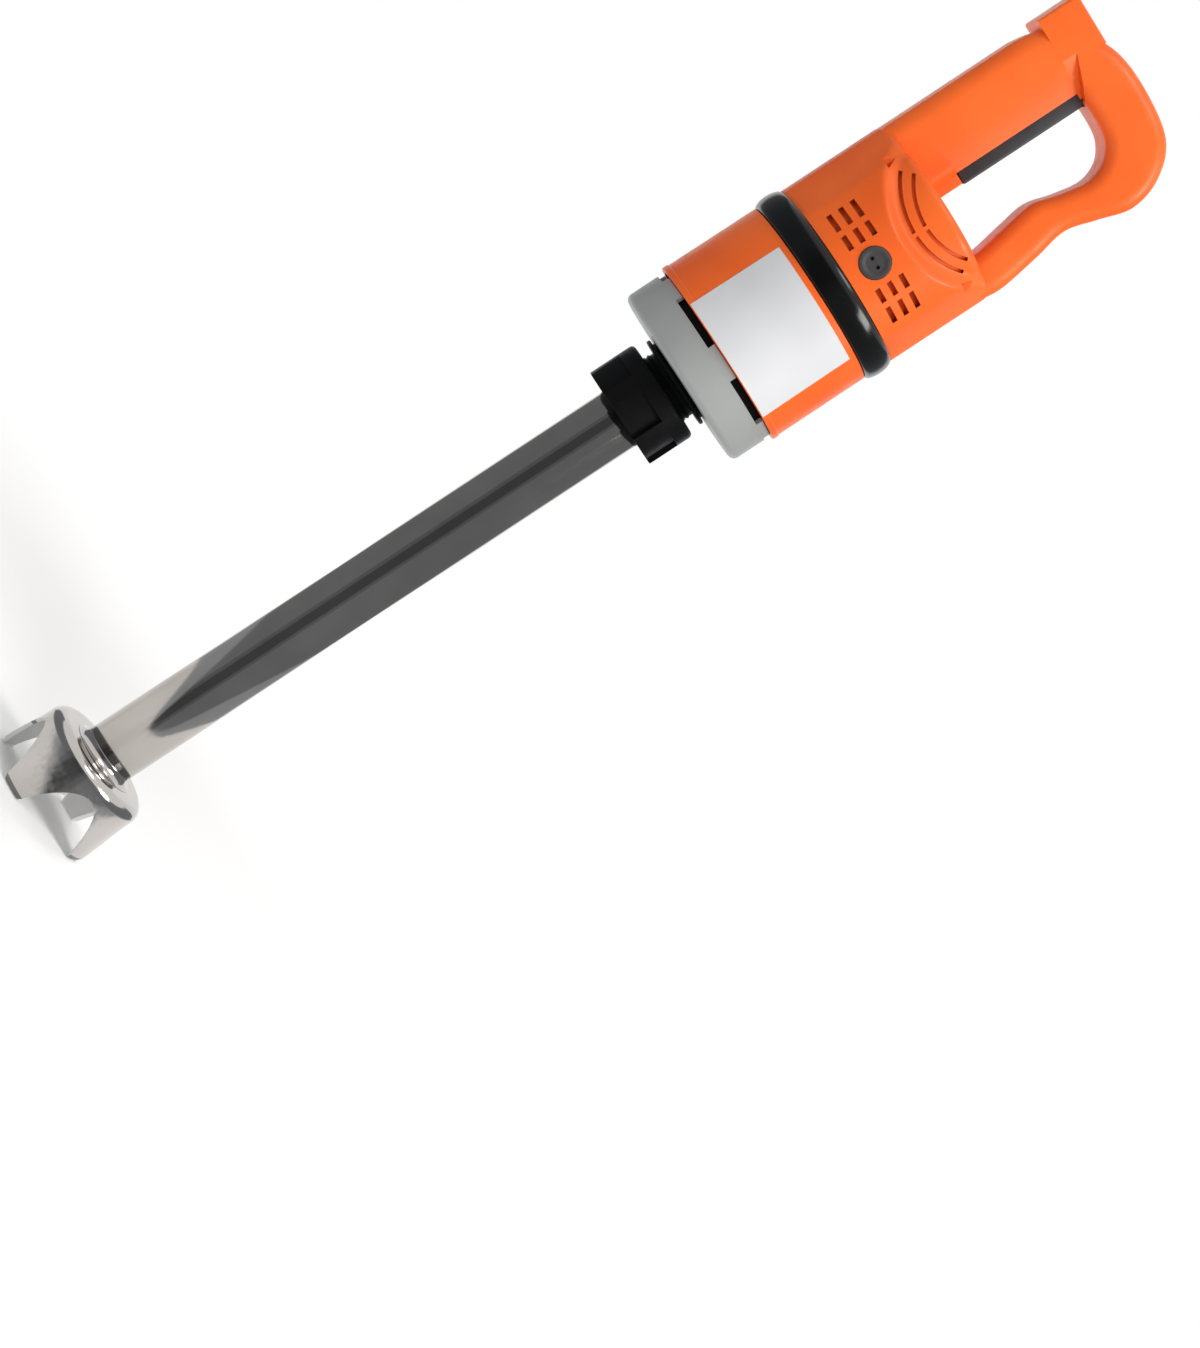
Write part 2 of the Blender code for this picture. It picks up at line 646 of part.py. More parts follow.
def make_blade():
    """Two swept wings with lifted tips, cut with its bore."""
    wing = [(0.006, -0.006), (0.017, -BLADE_HALF_WIDTH), (0.8 * BLADE_RADIUS, -BLADE_HALF_WIDTH),
            (BLADE_RADIUS, -0.3 * BLADE_HALF_WIDTH), (0.9 * BLADE_RADIUS, 0.3 * BLADE_HALF_WIDTH),
            (0.017, 0.7 * BLADE_HALF_WIDTH), (0.006, 0.006)]
    outline = wing + [(-x, -y) for x, y in wing]
    bore = circle(STUD_RADIUS + GAP, TINY_ROUND)
    place = Matrix.Rotation(LEG_AZIMUTH, 4, "Z")
    blade = flat("blade", [outline, bore], BLADE_HEIGHT, BLADE_HEIGHT + BLADE_THICKNESS, STAINLESS, place)
    for vertex in blade.data.vertices:
        out = math.hypot(vertex.co.x, vertex.co.y) - BLADE_RADIUS / 2
        if out > 0.002:
            vertex.co.z += BLADE_LIFT * out / (BLADE_RADIUS / 2)
    return blade


def make_drive():
    shoulder = BLADE_HEIGHT + BLADE_THICKNESS + GAP
    collar_top = GUARD_TOP - HUB_DROP - GAP
    stud_bottom = BLADE_HEIGHT - BLADE_NUT_HEIGHT - 0.002
    profile = [
        (0, DOG_TOP - GAP),
        (DRIVE_SHAFT_RADIUS, DOG_TOP - GAP),
        (DRIVE_SHAFT_RADIUS, collar_top),
        (SHOULDER_SHAFT_RADIUS, collar_top),
        (SHOULDER_SHAFT_RADIUS, shoulder),
        (STUD_RADIUS, shoulder),
        (STUD_RADIUS, stud_bottom),
        (0, stud_bottom),
    ]
    shaft = turned("drive_shaft", profile, 16, STEEL)
    dog_bore = circle(DRIVE_SHAFT_RADIUS + GAP, 16)
    dog = flat("drive_dog", [hexagon(DOG_FLATS), dog_bore], DOG_BOTTOM, DOG_TOP, BLACK)
    nut_bore = circle(STUD_RADIUS + GAP, TINY_ROUND)
    nut_top = BLADE_HEIGHT - GAP
    nut = flat("blade_nut", [hexagon(BLADE_NUT_FLATS), nut_bore], nut_top - BLADE_NUT_HEIGHT, nut_top, STAINLESS)
    parent_all("blade_spin_axis", (0, 0, BLADE_HEIGHT), [shaft, dog, make_blade(), nut])


def make_coupling_neck():
    tube_socket = TUBE_RADIUS + GAP
    bore = SOCKET_RADIUS + 0.0006
    pocket = FRONT_BEARING_RADIUS + GAP
    profile = [
        (pocket, NECK_TOP),
        (NECK_RADIUS, NECK_TOP),
        (NECK_RADIUS, FLANGE_BOTTOM + FLANGE_THICKNESS),
        (FLANGE_RADIUS, FLANGE_BOTTOM + FLANGE_THICKNESS),
        (FLANGE_RADIUS, FLANGE_BOTTOM),
        (THREAD_RADIUS, FLANGE_BOTTOM),
        (THREAD_RADIUS, NECK_BOTTOM + 0.0008),
        (THREAD_RADIUS - 0.0008, NECK_BOTTOM),
        (tube_socket, NECK_BOTTOM),
        (tube_socket, NECK_BOTTOM + SOCKET_DEPTH),
        (bore, NECK_BOTTOM + SOCKET_DEPTH),
        (bore, FRONT_BEARING_BOTTOM - GAP),
        (pocket, FRONT_BEARING_BOTTOM - GAP),
    ]
    return turned("coupling_neck", profile, ROUND, BLACK)


def bolt_places():
    for i in range(4):
        turn = math.radians(45 + 90 * i)
        yield i + 1, BOLT_CIRCLE * math.cos(turn), BOLT_CIRCLE * math.sin(turn)


def make_front_cover():
    """Turned cap with air slots round its rear edge, a hub for the neck and a boss for each motor bolt."""
    plate = COVER_FRONT + COVER_WALL
    hub = NECK_RADIUS + GAP
    inner = COVER_RADIUS - COVER_WALL
    profile = [
        (COVER_RADIUS, COVER_REAR),
        (COVER_RADIUS, COVER_FRONT + COVER_CORNER),
        (COVER_RADIUS - 0.3 * COVER_CORNER, COVER_FRONT + 0.3 * COVER_CORNER),
        (COVER_RADIUS - COVER_CORNER, COVER_FRONT),
        (hub, COVER_FRONT),
        (hub, COVER_FRONT + COVER_HUB_LENGTH),
        (hub + COVER_WALL, COVER_FRONT + COVER_HUB_LENGTH),
        (hub + COVER_WALL, plate),
        (inner, plate),
        (inner, COVER_REAR),
    ]
    cover = turned("front_cover", profile, CASING_ROUND, GREY)
    for i in range(AIR_SLOTS):
        outline = sector(inner - 0.004, COVER_RADIUS + 0.004, math.tau * i / AIR_SLOTS, AIR_SLOT_SPAN / 2, 6)
        cut(cover, flat(f"air_slot_{i + 1}", [outline], COVER_REAR - AIR_SLOT_WIDTH, COVER_REAR + 0.004))
    for i, x, y in bolt_places():
        place = Matrix.Translation((x, y, 0))
        head = BOLT_HEAD_RADIUS + GAP
        seat = COVER_FRONT + BOLT_HEAD + GAP
        boss_radius = min(head + 0.0015, COVER_RADIUS - BOLT_CIRCLE - 0.001)
        join(cover, rod(f"bolt_boss_{i}", boss_radius, COVER_FRONT + 0.001, seat + 0.003, TINY_ROUND, place=place))
        well = [(0, seat), (head, seat), (head, COVER_FRONT - 0.002), (0, COVER_FRONT - 0.002)]
        cut(cover, turned(f"bolt_well_{i}", well, TINY_ROUND, place=place))
        cut(cover, rod(f"bolt_hole_{i}", BOLT_RADIUS + GAP, COVER_FRONT, seat + 0.01, TINY_ROUND, place=place))
    return cover


def make_motor_bolts():
    for i, x, y in bolt_places():
        under_head = COVER_FRONT + BOLT_HEAD
        end = BRACKET_BOTTOM + BRACKET_THICKNESS
        profile = [(0, end), (BOLT_RADIUS, end), (BOLT_RADIUS, under_head), (BOLT_HEAD_RADIUS, under_head),
                   (BOLT_HEAD_RADIUS, COVER_FRONT), (0, COVER_FRONT)]
        turned(f"motor_bolt_{i}", profile, 10, STEEL, Matrix.Translation((x, y, 0)))


def make_motor_barrel():
    """Turned shell with a rear spigot for the ring and housing, and four ribs that carry the stator."""
    spigot_bore = SPIGOT_RADIUS - BARREL_SPIGOT_WALL
    lip = 0.0006
    profile = [
        (BARREL_REAR_RADIUS, BARREL_REAR),
        (BARREL_RADIUS - lip, BARREL_FRONT + 0.004),
        (BARREL_RADIUS, BARREL_FRONT + 0.0035),
        (BARREL_RADIUS, BARREL_FRONT),
        (BARREL_BORE, BARREL_FRONT),
        (BARREL_BORE, STATOR_TOP - 0.0015),
        (spigot_bore, BARREL_REAR - 0.001),
        (spigot_bore, SPIGOT_REAR),
        (SPIGOT_RADIUS, SPIGOT_REAR),
        (SPIGOT_RADIUS, BARREL_REAR),
    ]
    barrel = turned("motor_barrel", profile, CASING_ROUND, ORANGE)
    for i in range(4):
        place = Matrix.Rotation(math.radians(90 * i), 4, "Z")
        outline = [(STATOR_RADIUS + GAP, -BARREL_RIB / 2), (BARREL_BORE + 0.0015, -BARREL_RIB / 2),
                   (BARREL_BORE + 0.0015, BARREL_RIB / 2), (STATOR_RADIUS + GAP, BARREL_RIB / 2)]
        join(barrel, flat(f"stator_rib_{i + 1}", [outline], STATOR_BOTTOM, STATOR_TOP, place=place))
    return barrel


def make_bumper_ring():
    half = RING_WIDTH / 2
    middle = (RING_FRONT + RING_REAR) / 2
    inner = SPIGOT_RADIUS + GAP
    side = CASING_RADIUS - RING_SIDE_STEP
    crown = RING_RADIUS - side
    rise = [0, 0.62, 0.9, 1]
    reach = [1, 0.84, 0.5, 0]
    front = [(side + crown * r, middle - half * s) for r, s in zip(rise, reach)]
    rear = [(side + crown * r, middle + half * s) for r, s in zip(rise, reach)]
    profile = [(inner, RING_FRONT)] + front + rear[-2::-1] + [(inner, RING_REAR)]
    return turned("bumper_ring", profile, CASING_ROUND, RUBBER)


def handle_outer():
    """The handle's outline in (x, z), anticlockwise: up the bow, over the end and down the grip's back."""
    base = CASING_REAR - 0.5 * CASING_LENGTH
    z = CASING_REAR
    buried = CASING_RADIUS - 0.006
    run = [
        (CASING_RADIUS - 0.0015, z - 0.004),
        (CASING_RADIUS * 0.985, z + 0.009),
        ((CASING_RADIUS + BOW_WAIST) / 2 - 0.0006, z + 0.62 * BOW_WAIST_AT),
        (BOW_WAIST, z + BOW_WAIST_AT),
        ((BOW_WAIST + BOW_REACH) / 2, z + 0.5 * (BOW_WAIST_AT + BOW_BELLY_AT)),
        (BOW_REACH, z + BOW_BELLY_AT),
        (0.9 * BOW_REACH, z + 0.5 * (BOW_BELLY_AT + HANDLE_LENGTH)),
        (0.62 * BOW_REACH, z + HANDLE_LENGTH - 0.0048),
        (0.0069, z + HANDLE_LENGTH),
        (-0.0219, z + 0.5 * (HANDLE_LENGTH + END_FACE)),
        (-0.0430, z + END_FACE - 0.010),
        (-GRIP_BACK + 0.0035, z + END_FACE - 0.028),
        (-GRIP_BACK, z + 0.85 * LUG_START),
    ]
    return [(buried, base)] + smooth_run(run, 2) + [(-GRIP_BACK, z - 0.002), (-buried, z - 0.010), (-buried, base)]


def loop_outline():
    """The finger loop's outline in (x, z), anticlockwise. It starts inside the casing, whose rear face closes it."""
    base = CASING_REAR - 0.016
    z = CASING_REAR
    waist = BOW_WAIST - WAIST_THICKNESS
    belly = BOW_REACH - BELLY_THICKNESS
    bow = [
        (belly, z - 0.005),
        (0.97 * belly, z + 0.009),
        ((belly + waist) / 2 - 0.0008, z + 0.5 * BOW_WAIST_AT),
        (waist, z + 0.85 * BOW_WAIST_AT),
        ((belly + waist) / 2 + 0.0006, z + 0.66 * BOW_BELLY_AT),
        (belly, z + 0.85 * BOW_BELLY_AT),
        (0.87 * belly, z + 0.91 * LOOP_LENGTH),
        (0.59 * belly, z + 0.98 * LOOP_LENGTH),
        (0.29 * belly, z + LOOP_LENGTH),
        (-0.0020, z + LOOP_LENGTH),
    ]
    return [(belly, base)] + smooth_run(bow, 2) + [(-GRIP_FRONT, z + LOOP_LENGTH - 0.0006), (-GRIP_FRONT, base)]


def inset_cutter(name, wall, side):
    """Cuts the shallow inset round the vent arcs: its floor follows a smaller round, up a ramp to the casing."""
    z = CASING_REAR + INSET_CENTRE
    floor = HANDLE_HALF_WIDTH - wall + 0.001
    shape = bmesh.new()
    rings = []
    count = 24
    for distance in (CASING_RADIUS / 2, INSET_INNER, INSET_OUTER, INSET_OUTER + 0.004):
        climb = (distance - INSET_INNER) / (INSET_OUTER - INSET_INNER)
        radius = CASING_RADIUS - wall - INSET_DEPTH * (1 - max(climb, 0))
        ring = []
        for across, along in circle(distance, count):
            depth = math.sqrt(max(radius**2 - across**2, floor**2))
            ring.append(shape.verts.new((across, side * depth, z + along)))
        rings.append(ring)
    top = [shape.verts.new((v.co.x, side * CASING_RADIUS * 1.3, v.co.z)) for v in rings[-1]]
    rings.append(top)
    for low, high in zip(rings, rings[1:]):
        for i in range(count):
            j = (i + 1) % count
            shape.faces.new((low[i], low[j], high[j], high[i]))
    shape.faces.new(rings[0])
    shape.faces.new(top)
    bmesh.ops.triangulate(shape, faces=shape.faces[:])
    return add(name, finish_mesh(name, shape))


def chamfer_cutter(name, side, inward):
    """Cuts the grip's flat down to the trigger, between its slanted ends. inward moves the cut into the grip."""
    start_x = -GRIP_CHAMFER_START
    end_x = -GRIP_FRONT + 0.006
    fall = (HANDLE_HALF_WIDTH - GRIP_CHAMFER_HALF_WIDTH) / (GRIP_CHAMFER_START - GRIP_FRONT)
    z_low = CASING_REAR + TRIGGER_START
    z_high = z_low + TRIGGER_LENGTH
    slope = 0.26
    slide = inward * math.sqrt(1 + fall**2)
    corners = []
    for x in (start_x, end_x):
        reach = -GRIP_FRONT - x
        depth = HANDLE_HALF_WIDTH - fall * (x - start_x) - slide
        low = z_low - slope * reach - inward
        high = z_high + (slope + 0.1) * reach + inward
        for y in (depth, HANDLE_HALF_WIDTH + 0.01):
            corners += [(x, side * y, low), (x, side * y, high)]
    shape = bmesh.new()
    bmesh.ops.create_cube(shape, size=1)
    order = sorted(shape.verts, key=lambda v: (v.co.x, v.co.y, v.co.z))
    for vertex, corner in zip(order, corners):
        vertex.co = corner
    return add(name, finish_mesh(name, shape))


def flank_cutter(name, turn):
    """Planes one flank of the round casing flat, which leaves the soft crease along the side panel."""
    half = CASING_RADIUS / 2
    outline = [(FLANK_REACH, -half), (FLANK_REACH + half, -half), (FLANK_REACH + half, half), (FLANK_REACH, half)]
    return flat(name, [outline], CASING_FRONT - 0.01, CASING_REAR + 0.01, place=Matrix.Rotation(turn, 4, "Z"))


def make_handle_form():
    """The whole housing, still one solid: round casing, rounded D-handle, ledge and end lug."""
    corner = CASING_CORNER
    profile = [
        (0, CASING_REAR),
        (CASING_RADIUS - corner, CASING_REAR),
        (CASING_RADIUS - 0.3 * corner, CASING_REAR - 0.3 * corner),
        (CASING_RADIUS, CASING_REAR - corner),
        (CASING_RADIUS, CASING_FRONT),
        (0, CASING_FRONT),
    ]
    form = turned("housing_form", profile, CASING_ROUND, place=HALF_STEP)
    panel_edge = math.acos(FLANK_START / CASING_RADIUS)
    flank = panel_edge - FLANK_HALF_ANGLE
    for i, turn in enumerate((flank, math.pi - flank, math.pi + flank, -flank)):
        cut(form, flank_cutter(f"flank_{i + 1}", turn))
    cut(form, inset_cutter("inset_left", 0, -1), inset_cutter("inset_right", 0, 1))
    slab = rounded_slab("handle_slab", handle_outer(), loop_outline(), HANDLE_HALF_WIDTH, HANDLE_ROUND, LOOP_ROUND)
    z = CASING_REAR
    lug_x = -(GRIP_BACK + LUG_HEIGHT)
    proud = HANDLE_HALF_WIDTH + LUG_PROUD
    lug = box("end_lug", (lug_x, -proud, z + LUG_START), (lug_x + LUG_WIDTH, proud, z + END_FACE))
    bevel = lug.modifiers.new("soft_edges", "BEVEL")
    bevel.width = 0.0015
    bevel.segments = 1
    ledge = box("trigger_ledge", (-GRIP_FRONT - 0.004, -TRIGGER_HALF_WIDTH - 0.004, z - 0.008),
                (-GRIP_FRONT + LEDGE_DROP, TRIGGER_HALF_WIDTH + 0.004, z + TRIGGER_START - 0.0005))
    join(form, slab, lug, ledge)
    cut(form, chamfer_cutter("grip_chamfer_left", -1, 0), chamfer_cutter("grip_chamfer_right", 1, 0))
    return form


def make_cavity():
    """The space inside the housing walls, less the bosses and ribs that stand in it."""
    wall = HOUSING_WALL
    z = CASING_REAR
    radius = CASING_BORE
    seat = SPIGOT_RADIUS + GAP
    profile = [
        (0, z - wall),
        (radius - CASING_CORNER, z - wall),
        (radius, z - wall - CASING_CORNER),
        (radius, SPIGOT_REAR + 0.001),
        (seat, SPIGOT_REAR + 0.001),
        (seat, CASING_FRONT - 0.01),
        (0, CASING_FRONT - 0.01),
    ]
    cavity = turned("housing_cavity", profile, CASING_ROUND, place=HALF_STEP)
    cut(cavity, inset_cutter("inset_wall_left", wall, -1), inset_cutter("inset_wall_right", wall, 1))
    outer = offset_loop(handle_outer(), wall)
    hole = offset_loop(loop_outline(), -wall)
    half = HANDLE_HALF_WIDTH - wall
    lug_x = -(GRIP_BACK + LUG_HEIGHT)
    lug_half = half + LUG_PROUD
    lug_space = box("lug_space", (lug_x + wall, -lug_half, z + LUG_START + wall),
                    (lug_x + LUG_WIDTH - wall, lug_half, z + END_FACE - wall))
    join(cavity, rounded_slab("slab_cavity", outer, hole, half, HANDLE_ROUND - wall, LOOP_ROUND - wall, 1), lug_space)
    flank = math.acos(FLANK_START / CASING_RADIUS) - FLANK_HALF_ANGLE
    for i, turn in enumerate((flank, math.pi - flank, math.pi + flank, -flank)):
        wall_plane = flank_cutter(f"flank_wall_{i + 1}", turn)
        inward = Vector((-wall * math.cos(turn), -wall * math.sin(turn), SPIGOT_REAR + 0.011 - CASING_FRONT))
        wall_plane.data.transform(Matrix.Translation(inward))
        cut(cavity, wall_plane)
    cut(cavity, chamfer_cutter("chamfer_wall_left", -1, wall), chamfer_cutter("chamfer_wall_right", 1, wall))
    reach = CASING_RADIUS + 0.01
    bosses = []
    for i, (along, x) in enumerate(HOUSING_SCREWS):
        bosses.append(rod(f"screw_boss_{i + 1}", BOSS_RADIUS, -reach, reach, TINY_ROUND, place=along_y(x, z + along)))
    for side in (-1, 1):
        label = "left" if side < 0 else "right"
        pin_place = along_y(PIVOT.x, PIVOT.z, side)
        bosses.append(rod(f"pin_boss_{label}", PIN_RADIUS + 0.0025, TRIGGER_HALF_WIDTH + 0.0012, reach, TINY_ROUND,
                          place=pin_place))
        brush_place = along_y(0, BRUSH_Z, side)
        bosses.append(rod(f"brush_boss_{label}", CAP_RADIUS + GAP + 0.0025, CASING_RADIUS - 0.014, reach,
                          SMALL_ROUND, place=brush_place))
        for end in (0.15, 0.85):
            rib_z = z + PLUNGER_AT + SWITCH_LENGTH * (end - 0.5)
            low_y, high_y = sorted((side * (SWITCH_HALF_WIDTH + GAP), side * HANDLE_HALF_WIDTH))
            bosses.append(box(f"switch_rib_{label}_{end}", (-SWITCH_BACK - 0.003, low_y, rib_z - 0.001),
                              (-SWITCH_FACE - 0.006, high_y, rib_z + 0.001)))
    cut(cavity, gather("bosses", bosses))
    return freeze(cavity)


def vent_cutters():
    """Three columns of slots either side of the brush cap, and two vent arcs, cut through both sides at once."""
    reach = CASING_RADIUS + 0.01
    for column in range(VENT_COLUMNS):
        low = CASING_FRONT + VENT_FIRST + VENT_PITCH * column
        for row, (near, far) in enumerate(VENT_ROWS):
            for label, (left, right) in (("a", (near, far)), ("b", (-far, -near))):
                yield box(f"vent_{column}_{row}_{label}", (left, -reach, low), (right, reach, low + VENT_WIDTH))
    centre = Matrix.Translation((0, 0, CASING_REAR + INSET_CENTRE)) @ SIDE
    for i, radius in enumerate(ARC_RADII):
        gap = ARC_HALF_GAP / radius
        half = (ARC_END - gap) / 2
        for label, middle in (("a", -math.pi / 2 + gap + half), ("b", -math.pi / 2 - gap - half)):
            outline = sector(radius - ARC_WIDTH / 2, radius + ARC_WIDTH / 2, middle, half, 5)
            yield flat(f"vent_arc_{i}_{label}", [outline], -reach, reach, place=centre)


def pocket_cutters(side):
    """The small three-cornered pockets where the inset's ramp meets the flanks. SIDE turns +Z into -Y."""
    low = CASING_FRONT + POCKET_START
    near, far = POCKET_SIDES
    for end in (-1, 1):
        outline = [(end * near, low), (end * far, low), (end * (near + far) / 2, low + POCKET_LENGTH)]
        depth = math.sqrt((CASING_RADIUS - INSET_DEPTH) ** 2 - near**2)
        low_y, high_y = sorted((-side * (depth - 0.001), -side * (CASING_RADIUS + 0.01)))
        yield flat(f"pocket_{side}_{end}", [outline], low_y, high_y, place=SIDE)


def screw_cutter():
    """The head's well and the pilot hole of every housing screw, one stepped shape each, through both halves."""
    hole = SCREW_RADIUS + GAP
    head = SCREW_HEAD_RADIUS + GAP
    seat = SCREW_REACH - SCREW_HEAD - GAP
    profile = [(0, CASING_RADIUS), (head, CASING_RADIUS), (head, seat), (hole, seat), (hole, -SCREW_REACH - GAP),
               (0, -SCREW_REACH - GAP)]
    pieces = []
    for i, (along, x) in enumerate(HOUSING_SCREWS):
        pieces.append(turned(f"screw_hole_{i}", profile, 10, place=along_y(x, CASING_REAR + along)))
    return gather("screw_holes", pieces)


def make_housing():
    """Both moulded halves, cut from one hollow form, each with its own screw holes and pockets."""
    z = CASING_REAR
    form = make_handle_form()
    slot_low = z + TRIGGER_START - TRIGGER_CLEARANCE - 0.0001
    slot_high = z + TRIGGER_START + TRIGGER_LENGTH + 0.0009
    half = TRIGGER_HALF_WIDTH + TRIGGER_CLEARANCE
    slot = box("trigger_slot", (-0.028, -half, slot_low), (-GRIP_FRONT + TRIGGER_DROP + 0.0008, half, slot_high))
    arm_pocket = box("arm_pocket", (-0.0279, 0.0001 - half, PIVOT.z - PIVOT_RADIUS - 0.0015),
                     (PIVOT.x + PIVOT_RADIUS + 0.002, half - 0.0001, slot_low + 0.002))
    cap_hole = rod("brush_cap_hole", CAP_RADIUS + GAP, -CASING_RADIUS - 0.01, CASING_RADIUS + 0.01, SMALL_ROUND,
                   place=along_y(0, BRUSH_Z))
    inlet_hole = rod("inlet_hole", INLET_RADIUS + GAP, z + END_FACE - 0.008, z + END_FACE + 0.01, SMALL_ROUND,
                     place=Matrix.Translation((INLET_X, 0, 0)))
    pin_hole = rod("pin_hole", PIN_RADIUS + GAP, -PIN_LENGTH / 2 - GAP, PIN_LENGTH / 2 + GAP, TINY_ROUND,
                   place=along_y(PIVOT.x, PIVOT.z))
    cut(form, slot, arm_pocket, pin_hole, gather("openings", [cap_hole, inlet_hole, *vent_cutters()]))
    cut(form, make_cavity())
    cut(form, screw_cutter())
    freeze(form)
    reach = 0.5
    for side, label in ((-1, "left"), (1, "right")):
        low_y, high_y = sorted((side * GAP / 2, side * reach))
        shell = box(f"handle_shell_{label}", (-reach, low_y, CASING_FRONT - reach),
                    (reach, high_y, CASING_REAR + reach), ORANGE)
        combine(shell, "INTERSECT", form)
        cut(shell, gather(f"pockets_{label}", list(pocket_cutters(side))))


def make_housing_screws():
    for i, (along, x) in enumerate(HOUSING_SCREWS):
        under_head = SCREW_REACH - SCREW_HEAD
        profile = [(0, SCREW_REACH), (SCREW_HEAD_RADIUS, SCREW_REACH), (SCREW_HEAD_RADIUS, under_head),
                   (SCREW_RADIUS, under_head), (SCREW_RADIUS, -SCREW_REACH), (0, -SCREW_REACH)]
        turned(f"handle_screw_{i + 1}", profile, 10, STEEL, along_y(x, CASING_REAR + along))


def make_cord_inlet():
    """Rubber grommet in the end of the grip, its flange behind the wall."""
    top = CASING_REAR + END_FACE - GAP
    wall_inside = CASING_REAR + END_FACE - HOUSING_WALL - GAP
    profile = [
        (INLET_BORE, top),
        (INLET_RADIUS, top),
        (INLET_RADIUS, wall_inside),
        (INLET_RADIUS + INLET_FLANGE, wall_inside),
        (INLET_RADIUS + INLET_FLANGE, wall_inside - 0.003),
        (INLET_BORE, wall_inside - 0.003),
    ]
    return turned("cord_inlet", profile, SMALL_ROUND, RUBBER, Matrix.Translation((INLET_X, 0, 0)))


def make_trigger():
    """Bar that fills the slot, an arm to its pin, the torsion spring on that pin and the switch it works."""
    z_low = CASING_REAR + TRIGGER_START
    z_high = z_low + TRIGGER_LENGTH
    under = -GRIP_FRONT + TRIGGER_DROP
    top = under - TRIGGER_DEPTH
    corner = 0.0018
    bar = [(under, z_low + corner), (under, z_high - corner), (under - corner, z_high), (top, z_high),
           (top, z_low + 0.001), (under - TRIGGER_DEPTH * 0.55, z_low), (under - corner, z_low)]
    trigger = flat("trigger", [bar], -TRIGGER_HALF_WIDTH, TRIGGER_HALF_WIDTH, BLACK, SIDE)
    pivot = (PIVOT.x, PIVOT.z)
    arm = [(top, z_low + 0.009), (under - TRIGGER_DEPTH * 0.6, z_low + 0.002),
           (pivot[0] + 0.7 * PIVOT_RADIUS, pivot[1]), (pivot[0] - 0.9 * PIVOT_RADIUS, pivot[1])]
    join(trigger, flat("trigger_arm", [arm], -ARM_HALF_WIDTH, ARM_HALF_WIDTH, place=SIDE))
    join(trigger, rod("trigger_pivot_eye", PIVOT_RADIUS, -ARM_HALF_WIDTH, ARM_HALF_WIDTH, 16,
                      place=along_y(*pivot)))
    cut(trigger, rod("trigger_pivot_bore", PIN_RADIUS + GAP, -0.02, 0.02, TINY_ROUND, place=along_y(*pivot)))
    freeze(trigger)
    set_origin(trigger, PIVOT)
    rod("trigger_pin", PIN_RADIUS, -PIN_LENGTH / 2, PIN_LENGTH / 2, TINY_ROUND, STEEL, along_y(*pivot))
    make_trigger_spring(top)
    make_switch(top)


def make_trigger_spring(bar_top):
    """Torsion spring: two turns round the pin beside the arm, one leg on the bar and one up inside the grip."""
    curve = bpy.data.curves.new("trigger_spring", "CURVE")
    curve.dimensions = "3D"
    curve.bevel_depth = SPRING_WIRE_RADIUS
    curve.bevel_resolution = 0
    curve.use_fill_caps = True
    turns = 2
    per_turn = 10
    pitch = 0.0012
    start_y = ARM_HALF_WIDTH + 0.0008
    points = [(bar_top - PIVOT.x - SPRING_WIRE_RADIUS - GAP, start_y, 0.018)]
    lead = math.asin(min(0.95, abs(points[0][0]) / SPRING_COIL_RADIUS))
    for i in range(turns * per_turn + 1):
        angle = lead + math.tau * i / per_turn
        x = -SPRING_COIL_RADIUS * math.sin(angle)
        z = SPRING_COIL_RADIUS * math.cos(angle)
        points.append((x, start_y + pitch * i / per_turn, z))
    points.append((-0.012, start_y + pitch * turns, 0.004))
    spline = curve.splines.new("POLY")
    spline.points.add(len(points) - 1)
    for point, place in zip(spline.points, points):
        point.co = (*place, 1)
    spring = bpy.data.objects.new("trigger_spring", curve)
    curve.materials.append(STEEL)
    spring.location = PIVOT
    PARTS.objects.link(spring)
    return spring


def make_switch(bar_top):
    """Switch block held between ribs, with the plunger that the bar lifts."""
    z = CASING_REAR + PLUNGER_AT
    mouth = bar_top - SWITCH_TO_TRIGGER
    block = box("switch_block", (mouth - SWITCH_DEPTH, -SWITCH_HALF_WIDTH, z - SWITCH_LENGTH / 2),
                (mouth, SWITCH_HALF_WIDTH, z + SWITCH_LENGTH / 2), BLACK)
    across = Matrix.Translation((0, 0, z)) @ Matrix.Rotation(math.radians(90), 4, "Y")
    cut(block, rod("plunger_bore", PLUNGER_RADIUS + GAP, mouth - 0.009, mouth + 0.002, TINY_ROUND, place=across))
    rod("switch_plunger", PLUNGER_RADIUS, mouth - 0.005, bar_top - GAP - 0.0001, TINY_ROUND, BRASS, across)


